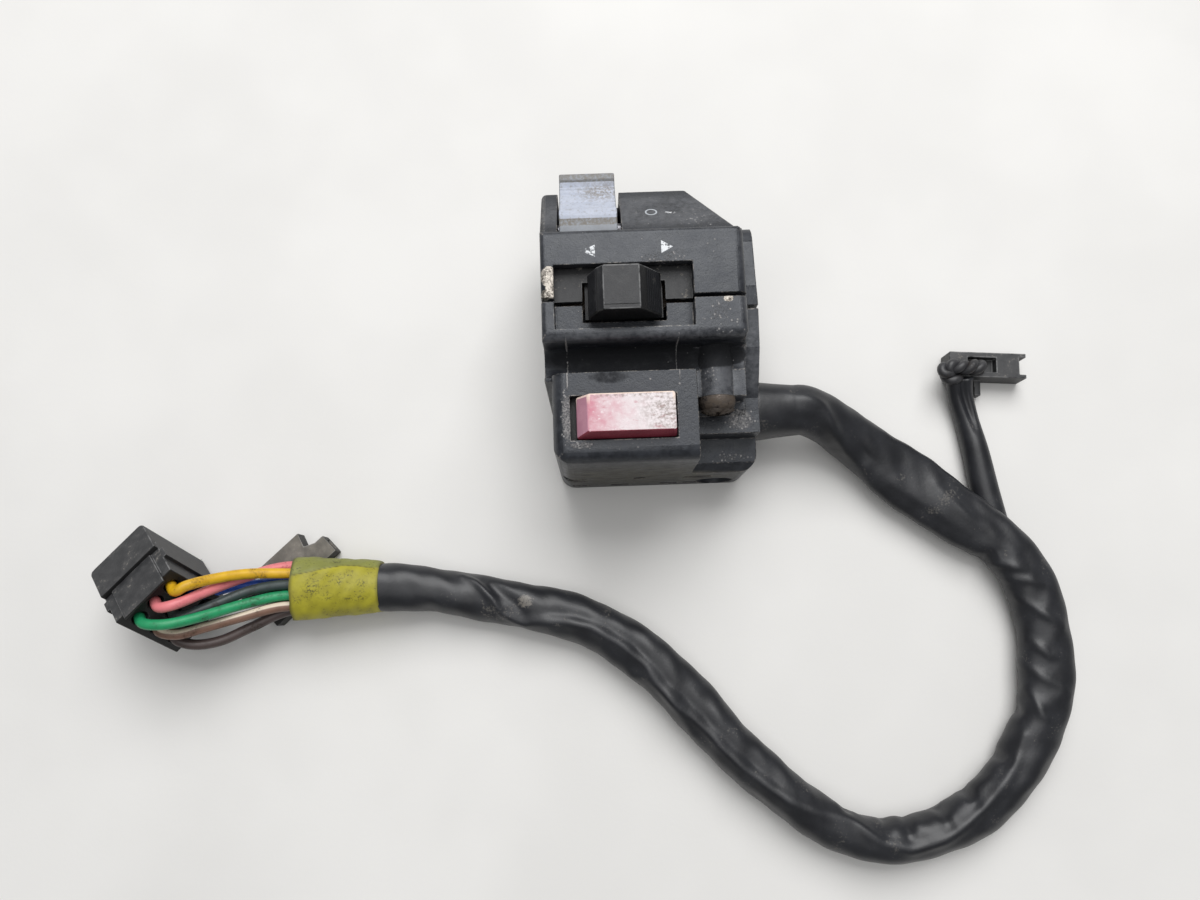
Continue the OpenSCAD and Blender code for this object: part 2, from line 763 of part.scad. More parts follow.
module lower_shell() {
    color([0.15, 0.16, 0.18])
        difference() {
            union() {
                difference() {
                    union() {
                        intersection() {
                            union() {
                                along_x(x_l, block_x1 - x_l)
                                    bezel_side(block_up_y - over, groove_z);
                                along_x(block_x1 - over, x_box - block_x1 + over)
                                    bezel_side(seat_y, pad_z);
                            }
                            along_y(-lower_h, lower_h)
                                face_side();
                        }
                        horn_block();
                        intersection() {
                            union() {
                                along_x(block_x1 - over, step_x - block_x1 + over)
                                    step_side(step_up);
                                along_x(step_x - seat_play, x_r - step_x + seat_play)
                                    step_side(0);
                            }
                            translate([0, 0, -far / 2])
                                linear_extrude(far) {
                                    polygon([[0, 0], [x_r, 0], [x_r, corner_r - lower_h],
                                        [x_r - corner_r, corner_r - lower_h],
                                        [x_r - corner_r, -lower_h], [0, -lower_h]]);
                                    translate([x_r - corner_r, corner_r - lower_h])
                                        circle(corner_r);
                                }
                        }
                        rod_y(front_screw, seat_y, -bezel_dn - seat_y + over, front_boss_r);
                    }
                    lower_room();
                }
                horn_pads();
            }
            rod_x(x_l - over, body_w + 2 * over, bar_r);
            rod_y(front_screw, seat_y - over, far, screw_free_r);
            rod_y(front_screw, seat_y - head_h - over, head_h + over, bore_room_r);
            rod_y(rear_screw, seat_y - over, far, screw_free_r);
            rod_y(rear_screw, -lower_h - over, lower_h + over + seat_y, bore_room_r);
            box([window_x0, -window_dn, plate_top], [window_x0 + window_w, over, panel_z + over]);
            box([turn_x - slot_half, carr_y0 - slot_end, ledge_bot - over],
                [turn_x + slot_half, over, plate_top + over]);
            box([horn_x - horn_w / 2 - horn_play, horn_y - horn_b / 2 - horn_play, block_in - over],
                [horn_x + horn_w / 2 + horn_play, horn_y + horn_b / 2 + horn_play, block_z + over]);
            translate([0, exit_y, exit_z])
                rod_x(room3_x - over, far, exit_r);
            for (x = vent_x, k = [0:vent_n - 1])
                translate([x, -lower_h, vent_z - vent_h / 2 + k * (vent_h + vent_rib) / vent_n])
                    box([-vent_w / 2, -over, 0], [vent_w / 2, vent_d, vent_rib]);
            rod_y(drain_at, -lower_h - over, wall + 2 * over, drain_r);
            for (x = slot_x)
                translate([x, -lower_h, slot_z])
                    box([-slot_w / 2, -over, 0], [slot_w / 2, vent_d, slot_h]);
            for (s = [-1, 1])
                translate([horn_x + s * horn_screw_dx, horn_screw_y, horn_base_bot - small_len])
                    cylinder(h = small_len + over, r = small_screw_r);
        }
}

module clamp_screws() {
    color([0.3, 0.27, 0.25])
        for (at = [front_screw, rear_screw])
            difference() {
                union() {
                    rod_y(at, seat_y, screw_len - seat_play, screw_r);
                    intersection() {
                        rod_y(at, seat_y - head_h, head_h, head_r);
                        translate([at[0], seat_y - head_h + head_dome, at[1]])
                            sphere(head_dome);
                    }
                }
                for (s = [[cross_w, cross_l], [cross_l, cross_w]])
                    box([at[0] - s[0] / 2, seat_y - head_h - over, at[1] - s[1] / 2],
                        [at[0] + s[0] / 2, seat_y - head_h + cross_h, at[1] + s[1] / 2]);
            }
}

module turn_cover_plate() {
    color([0.13, 0.14, 0.15])
        difference() {
            box([frame_x0, frame_y0 - play, base_top], [frame_x1, frame_y1, plate_top]);
            box([turn_x - carr_half - turn_travel - carr_play, -over, base_top - over],
                [turn_x + carr_half + turn_travel + carr_play, rail_y + far, plate_bot]);
            box([frame_x0 - over, ear_y - small_head_h - slot_side, base_top - over],
                [frame_x1 + over, far, plate_bot]);
            box([turn_x - slot_half, -over, base_top], [turn_x + slot_half, slot_top, plate_top + over]);
        }
}

module turn_contact_base() {
    color([0.45, 0.36, 0.25])
        difference() {
            union() {
                box([frame_x0, frame_y0, base_bot], [frame_x1, frame_y1, base_top]);
                box([frame_x0, ear_y, base_bot], [frame_x1, frame_y1, plate_bot - seat_play]);
                box([turn_x - rail_half, rail_y, base_bot],
                    [turn_x + rail_half, frame_y1, plate_bot - seat_play]);
            }
            for (s = [-1, 0, 1])
                translate([turn_x + s * turn_travel, rail_y + notch_dep - notch_r, base_top])
                    cylinder(h = far, r = notch_r);
            for (x = turn_screw_x)
                rod_y([x, turn_screw_z], ear_y - over, frame_y1, small_screw_r + seat_play);
            for (y = contact_y, s = [-1, 0, 1])
                translate([turn_x + s * contact_step, y, base_bot - over])
                    cylinder(h = base_t + 2 * over, r = rivet_r);
        }
}

module turn_fixed_contacts() {
    color([0.78, 0.62, 0.3])
        for (y = contact_y, s = [-1, 0, 1])
            translate([turn_x + s * contact_step, y, base_bot])
                cylinder(h = base_t + rivet_up, r = rivet_r);
}

module turn_base_screws() {
    color([0.6, 0.6, 0.6])
        for (x = turn_screw_x) {
            rod_y([x, turn_screw_z], ear_y, frame_y1 - ear_y + small_len - over - seat_play, small_screw_r);
            rod_y([x, turn_screw_z], ear_y - small_head_h, small_head_h, small_head_r);
        }
}

module turn_carriage() {
    color([0.2, 0.2, 0.21])
        difference() {
            union() {
                box([turn_x - carr_half, carr_y0, carr_bot], [turn_x + carr_half, carr_y1, carr_top]);
                box([turn_x - stem_half, carr_y0, carr_bot],
                    [turn_x + stem_half, pocket_y1 + pocket_wall, boss_top_z]);
            }
            box([turn_x - pocket_half, pocket_y0, pocket_z], [turn_x + pocket_half, pocket_y1, far]);
            rod_y([turn_x, ball_z], ball_bore_y, far, ball_bore_r);
        }
}

module turn_moving_contacts() {
    color([0.8, 0.6, 0.32])
        for (y = contact_y) {
            box([turn_x - contact_step / 2 - leaf_w / 2, y - leaf_w / 2, carr_bot - leaf_t],
                [turn_x + contact_step / 2 + leaf_w / 2, y + leaf_w / 2, carr_bot]);
        }
}

module turn_detent_ball() {
    color([0.75, 0.75, 0.76])
        translate([turn_x, ball_y, ball_z])
            sphere(ball_r);
}

module turn_detent_spring() {
    color([0.6, 0.6, 0.62])
        translate([turn_x, ball_bore_y, ball_z])
            rotate([-90, 0, 0])
                coil(ball_r - detent_wire, detent_wire, ball_y - ball_bore_y - ball_r, detent_turns);
}

module turn_knob() {
    half = knob_w / 2;
    color([0.12, 0.12, 0.13])
        difference() {
            union() {
                along_y(knob_y0, knob_len)
                    polygon([[turn_x - half, knob_bot], [turn_x + half, knob_bot],
                        [turn_x + half, knob_bot + knob_lip],
                        [turn_x + knob_top_shift + knob_top_half + knob_bevel, knob_top - knob_bevel_h],
                        [turn_x + knob_top_shift + knob_top_half, knob_top],
                        [turn_x + knob_top_shift - knob_top_half, knob_top],
                        [turn_x + knob_top_shift - knob_top_half - knob_bevel, knob_top - knob_bevel_h],
                        [turn_x - half, knob_bot + knob_lip]]);
                box([turn_x - pocket_half + stem_play, pocket_y0 + stem_play, stem_bot],
                    [turn_x + pocket_half - stem_play, pocket_y1 - stem_play, knob_bot + over]);
            }
            translate([turn_x, (pocket_y0 + pocket_y1) / 2, stem_bot - over])
                cylinder(h = stem_bore_top - stem_bot + over, r = stem_bore_r);
        }
}

module turn_cancel_spring() {
    color([0.6, 0.6, 0.62])
        translate([turn_x, (pocket_y0 + pocket_y1) / 2, pocket_z])
            coil(cancel_r, cancel_wire, stem_bore_top - pocket_z, cancel_turns);
}

module horn_button() {
    x0 = horn_x - horn_w / 2;
    x1 = horn_x + horn_w / 2;
    y0 = horn_y - horn_b / 2;
    y1 = horn_y + horn_b / 2;
    color([0.82, 0.42, 0.46]) {
        intersection() {
            along_y(y0, horn_b)
                polygon([[x0, horn_flange_z], [x1, horn_flange_z], [x1, block_z - play],
                    [x1 - horn_right, horn_top], [x0 + horn_left, horn_top], [x0, block_z - play]]);
            along_x(x0, horn_w)
                polygon([[y0, horn_flange_z], [y1, horn_flange_z], [y1, block_z - play],
                    [y1 - horn_back, horn_top], [y0 + horn_front, horn_top], [y0, block_z - play]]);
        }
        box([x0 - horn_flange[0], y0 - horn_flange[1], horn_flange_z],
            [x1 + horn_flange[0], y1 + horn_flange[1], horn_flange_z + horn_flange_h]);
        for (s = [-1, 1])
            translate([horn_x + s * post_gap, horn_y, plate_z])
                cylinder(h = horn_flange_z - plate_z + over, r = post_r);
    }
}

module horn_spring() {
    color([0.6, 0.6, 0.62])
        translate([horn_x, horn_y, horn_base_top])
            coil(horn_spring_r, horn_wire, horn_flange_z - horn_base_top, horn_turns);
}

module horn_contact_plate() {
    color([0.8, 0.6, 0.32])
        difference() {
            box([horn_x - horn_plate_half, horn_y - horn_plate_b / 2, plate_z],
                [horn_x + horn_plate_half, horn_y + horn_plate_b / 2, plate_z + horn_plate_t]);
            translate([horn_x, horn_y, plate_z - over])
                cylinder(h = horn_plate_t + 2 * over, r = horn_spring_r + horn_wire / 2 + play / 2);
            for (s = [-1, 1])
                translate([horn_x + s * post_gap, horn_y, plate_z - over])
                    cylinder(h = horn_plate_t + 2 * over, r = post_r);
        }
}

module horn_contact_base() {
    color([0.45, 0.36, 0.25])
        difference() {
            union() {
                box([horn_x - horn_base_half, horn_base_y0, horn_base_bot],
                    [horn_x + horn_base_half, horn_base_y1, horn_base_top]);
                translate([horn_x, horn_y, horn_base_bot])
                    cylinder(h = horn_base_t + guide_h, r = guide_r);
            }
            for (s = [-1, 1]) {
                translate([horn_x + s * stud_gap, horn_y, horn_base_bot - over])
                    cylinder(h = horn_base_t + 2 * over, r = stud_r);
                translate([horn_x + s * horn_screw_dx, horn_screw_y, horn_base_bot - over])
                    cylinder(h = horn_base_t + 2 * over, r = small_screw_r + seat_play);
            }
        }
}

module horn_fixed_contacts() {
    color([0.78, 0.62, 0.3])
        for (s = [-1, 1])
            translate([horn_x + s * stud_gap, horn_y, horn_base_bot])
                cylinder(h = stud_top - horn_base_bot, r = stud_r);
}

module horn_base_screws() {
    color([0.6, 0.6, 0.6])
        for (s = [-1, 1])
            translate([horn_x + s * horn_screw_dx, horn_screw_y, 0]) {
                translate([0, 0, horn_base_bot - small_len + seat_play])
                    cylinder(h = small_len - seat_play + horn_base_t, r = small_screw_r);
                translate([0, 0, horn_base_top])
                    cylinder(h = horn_head_h, r = horn_head_r);
            }
}

module dimmer_rocker() {
    color([0.72, 0.75, 0.82])
        on_slope()
            difference() {
                union() {
                    along_x(rocker_x0, rocker_w) {
                        difference() {
                            polygon(rocker_side);
                            translate(face_cut)
                                circle(face_cut_r);
                        }
                        circle(hub_r);
                        translate([-hub_r, 0])
                            square([2 * hub_r, hub_r]);
                    }
                    box([rocker_x - tail_w / 2, -tail_half, tail_end],
                        [rocker_x + tail_w / 2, tail_half, 0]);
                }
                rod_x(rocker_x0 - over, rocker_w + 2 * over, pin_r + pin_play);
                translate([rocker_x, 0, tail_end - over])
                    cylinder(h = dimmer_bore_top - tail_end + over, r = dimmer_bore_r);
            }
}

module dimmer_pivot_pin() {
    color([0.65, 0.65, 0.66])
        on_slope()
            rod_x(x_l + wall / 2 + seat_play, slot_x1 + play + lug_t - x_l - wall / 2, pin_r);
}

module dimmer_detent_ball() {
    color([0.75, 0.75, 0.76])
        on_slope()
            translate([rocker_x, 0, dimmer_ball_b])
                sphere(dimmer_ball_r);
}

module dimmer_detent_spring() {
    color([0.6, 0.6, 0.62])
        on_slope()
            translate([rocker_x, 0, dimmer_ball_b + dimmer_ball_r])
                coil(dimmer_ball_r - detent_wire, detent_wire, dimmer_spring_h, detent_turns);
}

module dimmer_contact_base() {
    color([0.45, 0.36, 0.25])
        on_slope()
            difference() {
                box([x_l + wall + seat_play, dimmer_base_a0, dimmer_base_top - dimmer_base_t],
                    [slot_x1 + play - seat_play, dimmer_base_a1, dimmer_base_top]);
                for (a = dimmer_notch_a)
                    translate([0, a, dimmer_base_top - dimmer_notch_dep + dimmer_notch_r])
                        rod_x(rocker_x - dimmer_ball_r, 2 * dimmer_ball_r, dimmer_notch_r);
                for (s = [-1, 1], a = dimmer_rivet_a)
                    translate([rocker_x + s * wiper_dx, a, dimmer_base_top - dimmer_base_t - over])
                        cylinder(h = dimmer_base_t + 2 * over, r = rivet_r);
            }
}

module dimmer_fixed_contacts() {
    color([0.78, 0.62, 0.3])
        on_slope()
            for (s = [-1, 1], a = dimmer_rivet_a)
                translate([rocker_x + s * wiper_dx, a, dimmer_base_top - dimmer_base_t])
                    cylinder(h = dimmer_base_t + rivet_up, r = rivet_r);
}

module dimmer_moving_contacts() {
    color([0.8, 0.6, 0.32])
        on_slope()
            for (s = [-1, 1])
                along_x(rocker_x + s * wiper_dx - wiper_w / 2, wiper_w)
                    polygon([[-wiper_t, tail_end + wiper_up], [wiper_t, tail_end + wiper_up],
                        [wiper_t, tail_end - wiper_tip / 2], [0, tail_end - wiper_tip],
                        [-wiper_t, tail_end - wiper_tip / 2]]);
}

module cable_grommet() {
    color([0.07, 0.07, 0.08])
        translate([0, exit_y, exit_z])
            difference() {
                union() {
                    rod_x(room3_x - grommet_flange_t - seat_play, grommet_flange_t, grommet_flange_r);
                    rod_x(room3_x - grommet_flange_t, x_r - room3_x + grommet_flange_t + over, grommet_r);
                    translate([boot_x0, 0, 0])
                        rotate([0, 90, 0])
                            cylinder(h = boot_len, r1 = boot_r0, r2 = loom_r);
                }
                rod_x(0, x_r + boot_len - boot_end, grommet_bore_r);
            }
}

module loom_sleeve() {
    color([0.08, 0.08, 0.09])
        tube(loom_pts, loom_r, 12);
}

module loom_tape() {
    n = 16;
    rows = len(tape_rings);
    outer = [for (r = tape_rings) each ring([r[0], r[1], r[2]], [-1, 0, 0], r[3], r[4], n)];
    inner = [for (r = tape_rings) each
        ring([r[0], r[1], r[2]], [-1, 0, 0], r[3] - tape_t, r[4] - tape_t, n)];
    back = rows * n;
    inside = [for (f = skin(rows, n)) [f[0] + back, f[2] + back, f[1] + back]];
    first = [for (k = [0:n - 1]) each [
        [k, back + k, (k + 1) % n],
        [(k + 1) % n, back + k, back + (k + 1) % n]]];
    e = (rows - 1) * n;
    last = [for (k = [0:n - 1]) each [
        [e + k, e + (k + 1) % n, back + e + k],
        [e + (k + 1) % n, back + e + (k + 1) % n, back + e + k]]];
    color([0.7, 0.68, 0.2])
        polyhedron(concat(outer, inner), concat(skin(rows, n), inside, first, last));
}

module wire_yellow() {
    color([0.85, 0.68, 0.12])
        tube(yellow_pts, wire_d / 2, 8);
}

module wire_pink() {
    color([0.87, 0.5, 0.52])
        tube(pink_pts, wire_d / 2, 8);
}

module wire_blue() {
    color([0.1, 0.25, 0.6])
        tube(blue_pts, wire_d / 2, 8);
}

module wire_black() {
    color([0.2, 0.25, 0.25])
        tube(black_pts, wire_d / 2, 8);
}

module wire_green() {
    color([0.15, 0.6, 0.38])
        tube(green_pts, wire_d / 2, 8);
}

module wire_brown_white() {
    color([0.5, 0.38, 0.32])
        tube(brown_pts, wire_d / 2, 8);
}

module wire_dark_brown() {
    color([0.3, 0.25, 0.24])
        tube(dark_pts, wire_d / 2, 8);
}

module main_connector() {
    color([0.24, 0.25, 0.26])
        translate(main_at)
            rotate(main_turn)
                difference() {
                    union() {
                        translate([-main_l / 2, -main_wd / 2, -main_h / 2])
                            cube([main_l, main_wd, main_h]);
                        box([latch_x[0], -latch_half, main_h / 2 - over],
                            [latch_x[1], latch_half, main_h / 2 + latch_h]);
                    }
                    box([main_groove_x[0], -far, main_h / 2 - main_groove_d], [main_groove_x[1], far, far]);
                    for (i = cell_rows, j = cell_rows)
                        translate([main_l / 2 - cell_dep, i * main_pitch_y, j * main_pitch_z])
                            rod_x(0, cell_dep + over, cell_r);
                    box([-main_l / 2 - over, socket_rim - main_wd / 2, socket_rim - main_h / 2],
                        [socket_dep - main_l / 2, main_wd / 2 - socket_rim, main_h / 2 - socket_rim]);
                }
}

module main_terminals() {
    color([0.7, 0.62, 0.4])
        translate(main_at)
            rotate(main_turn)
                for (i = cell_rows, j = cell_rows)
                    translate([socket_dep - main_l / 2 - blade_l, i * main_pitch_y, j * main_pitch_z])
                        rod_x(0, blade_l, blade_r);
}

module second_connector() {
    color([0.4, 0.38, 0.36])
        translate(second_at)
            rotate(second_turn)
                translate([0, 0, -second_h / 2])
                    difference() {
                        linear_extrude(second_h)
                            polygon(second_body);
                        box([second_body[3][0] - second_socket, second_socket_lo[0], second_socket_lo[1]],
                            [far, second_socket_hi[0], second_socket_hi[1]]);
                    }
}

module second_terminals() {
    color([0.7, 0.62, 0.4])
        translate(second_at)
            rotate(second_turn)
                translate([second_body[3][0] - second_socket, second_blade[0], second_blade[1]])
                    rod_x(0, second_socket - second_blade_in, blade_r);
}

module second_lead() {
    color([0.1, 0.1, 0.11])
        tube(second_pts, lead_r, 8);
}

module branch_sleeve() {
    color([0.08, 0.08, 0.09])
        tube(branch_pts, branch_r, 10);
}

module branch_wires() {
    color([0.1, 0.1, 0.11]) {
        tube(branch_wire_a, branch_wire_r, 8);
        tube(branch_wire_b, branch_wire_r, 8);
    }
}

module branch_connector() {
    color([0.2, 0.2, 0.21])
        translate(branch_at)
            rotate(branch_turn)
                difference() {
                    union() {
                        box([branch_l0, -branch_wd / 2, -branch_h / 2],
                            [branch_l2, branch_wd / 2, branch_h / 2]);
                        for (s = [-1, 1])
                            translate([branch_l1, s * (branch_wd - branch_rim) / 2, 0])
                                box([0, -branch_rim / 2, -branch_h / 2],
                                    [branch_l3 - branch_l1, branch_rim / 2, branch_h / 2]);
                        box([branch_tab_x, -branch_wd / 2 - branch_tab[1], -branch_h / 2],
                            [branch_tab_x + branch_tab[0], 0, branch_tab[2] - branch_h / 2]);
                    }
                    box([branch_l1, branch_rim - branch_wd / 2, branch_rim - branch_h / 2],
                        [far, branch_wd / 2 - branch_rim, branch_h / 2 - branch_rim]);
                    box([branch_slot_x[0], -branch_slot_half, branch_h / 2 - branch_slot_d],
                        [branch_slot_x[1], branch_slot_half, far]);
                }
}

module branch_terminals() {
    color([0.7, 0.62, 0.4])
        translate(branch_at)
            rotate(branch_turn)
                for (s = [-1, 1])
                    translate([branch_l1, s * branch_blade_y, 0])
                        rod_x(0, branch_l2 - branch_l1, blade_r);
}

echo(horn_spring_self_gap = (horn_flange_z - horn_base_top - horn_wire) / horn_turns - horn_wire);
echo(cancel_spring_self_gap = (stem_bore_top - pocket_z - cancel_wire) / cancel_turns - cancel_wire);
echo(turn_spring_self_gap = (ball_y - ball_bore_y - ball_r - detent_wire) / detent_turns - detent_wire);
echo(dimmer_spring_self_gap = (dimmer_spring_h - detent_wire) / detent_turns - detent_wire);

upper_shell();
lower_shell();
clamp_screws();
turn_cover_plate();
turn_contact_base();
turn_fixed_contacts();
turn_base_screws();
turn_carriage();
turn_moving_contacts();
turn_detent_ball();
turn_detent_spring();
turn_knob();
turn_cancel_spring();
horn_button();
horn_spring();
horn_contact_plate();
horn_contact_base();
horn_fixed_contacts();
horn_base_screws();
dimmer_rocker();
dimmer_pivot_pin();
dimmer_detent_ball();
dimmer_detent_spring();
dimmer_contact_base();
dimmer_fixed_contacts();
dimmer_moving_contacts();
cable_grommet();
loom_sleeve();
loom_tape();
wire_yellow();
wire_pink();
wire_blue();
wire_black();
wire_green();
wire_brown_white();
wire_dark_brown();
main_connector();
main_terminals();
second_connector();
second_terminals();
second_lead();
branch_sleeve();
branch_wires();
branch_connector();
branch_terminals();
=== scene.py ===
"""Dressed model of a handlebar switch cluster: painted halves, switches and wiring loom."""
import logging
import math
from collections.abc import Callable, Iterable, Sequence
from dataclasses import dataclass
from enum import Enum
from typing import Any, Union

import bpy
import numpy as np
from mathutils import Euler, Matrix, Vector


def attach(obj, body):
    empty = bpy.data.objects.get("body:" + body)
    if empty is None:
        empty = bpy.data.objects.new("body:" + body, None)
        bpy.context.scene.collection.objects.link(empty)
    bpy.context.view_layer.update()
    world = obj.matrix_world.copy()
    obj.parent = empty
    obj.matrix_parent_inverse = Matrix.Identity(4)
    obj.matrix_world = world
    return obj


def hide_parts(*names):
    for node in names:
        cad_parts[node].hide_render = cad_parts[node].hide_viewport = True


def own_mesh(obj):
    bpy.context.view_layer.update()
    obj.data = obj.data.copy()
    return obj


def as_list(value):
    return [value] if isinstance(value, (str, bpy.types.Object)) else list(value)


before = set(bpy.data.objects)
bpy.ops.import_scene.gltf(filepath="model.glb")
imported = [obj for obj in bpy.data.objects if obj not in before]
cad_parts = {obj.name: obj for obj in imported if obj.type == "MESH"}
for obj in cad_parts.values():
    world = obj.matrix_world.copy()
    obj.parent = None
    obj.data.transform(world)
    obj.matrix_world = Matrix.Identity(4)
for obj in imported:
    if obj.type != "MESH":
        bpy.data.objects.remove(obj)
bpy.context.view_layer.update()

LOG = logging.getLogger("switch_cluster")
MM = 0.001
MM_PER_M = 1000.0
TOLERANCE = 0.05  # mm, for finding faces and edges of the CAD shapes
Triple = tuple[float, float, float]
Pair = tuple[float, float]
Colour = tuple[float, float, float, float]
Number = Union["Sock", float]


class Body(Enum):
    """The bodies that pieces ride on."""

    HOUSING = "housing"
    CARRIAGE = "turn_carriage"
    KNOB = "turn_knob"
    HORN = "horn_button"
    ROCKER = "dimmer_rocker"


class Side(Enum):
    """A side of a piece, by the sign of its direction."""

    LEFT = -1
    RIGHT = 1


def mm(*values: float) -> tuple[float, ...]:
    """Millimetres as metres."""
    return tuple(value * MM for value in values)


def grey(level: float) -> Colour:
    """A neutral colour of one linear level."""
    return (level, level, level, 1.0)


def srgb(red: float, green: float, blue: float) -> Colour:
    """A colour given by its screen values, as linear light.

    Args:
        red: Screen value from 0 to 1.
        green: Screen value from 0 to 1.
        blue: Screen value from 0 to 1.

    Returns:
        The linear colour with full alpha.
    """
    def line(value: float) -> float:
        """One channel as linear light."""
        return value / 12.92 if value <= 0.04045 else ((value + 0.055) / 1.055) ** 2.4
    return (line(red), line(green), line(blue), 1.0)


# ---------------------------------------------------------------- shader building


class Sock:
    """A shader socket that takes part in Python arithmetic."""

    def __init__(self, graph: "Graph", socket: bpy.types.NodeSocket) -> None:
        """Wraps one output socket of a graph."""
        self.graph = graph
        self.socket = socket

    def _math(self, operation: str, first: Number, second: Number) -> "Sock":
        """One Math node on two values."""
        return self.graph.add("ShaderNodeMath", {"operation": operation}, {0: first, 1: second})

    def __add__(self, other: Number) -> "Sock":
        """Sum."""
        return self._math("ADD", self, other)

    def __radd__(self, other: Number) -> "Sock":
        """Reflected sum."""
        return self._math("ADD", other, self)

    def __sub__(self, other: Number) -> "Sock":
        """Difference."""
        return self._math("SUBTRACT", self, other)

    def __rsub__(self, other: Number) -> "Sock":
        """Reflected difference."""
        return self._math("SUBTRACT", other, self)

    def __mul__(self, other: Number) -> "Sock":
        """Product."""
        return self._math("MULTIPLY", self, other)

    def __rmul__(self, other: Number) -> "Sock":
        """Reflected product."""
        return self._math("MULTIPLY", other, self)

    def __or__(self, other: Number) -> "Sock":
        """The larger of two values, for masks that join."""
        return self._math("MAXIMUM", self, other)

    def size(self) -> "Sock":
        """The value without its sign."""
        return self._math("ABSOLUTE", self, 0.0)

    def ramp(self, low: float, high: float) -> "Sock":
        """A smooth step.

        Args:
            low: The value at which the step is 0.
            high: The value at which the step is 1, which may be below low.

        Returns:
            The step, from 0 to 1.
        """
        return self.graph.add("ShaderNodeMapRange", {"interpolation_type": "SMOOTHSTEP"},
                              {"Value": self, "From Min": low, "From Max": high})


@dataclass(frozen=True)
class Spot:
    """A soft patch on a surface: an ellipsoid in the object's frame, in mm."""

    at: Triple
    radii: Triple
    strength: float = 1.0
    soft: float = 0.5


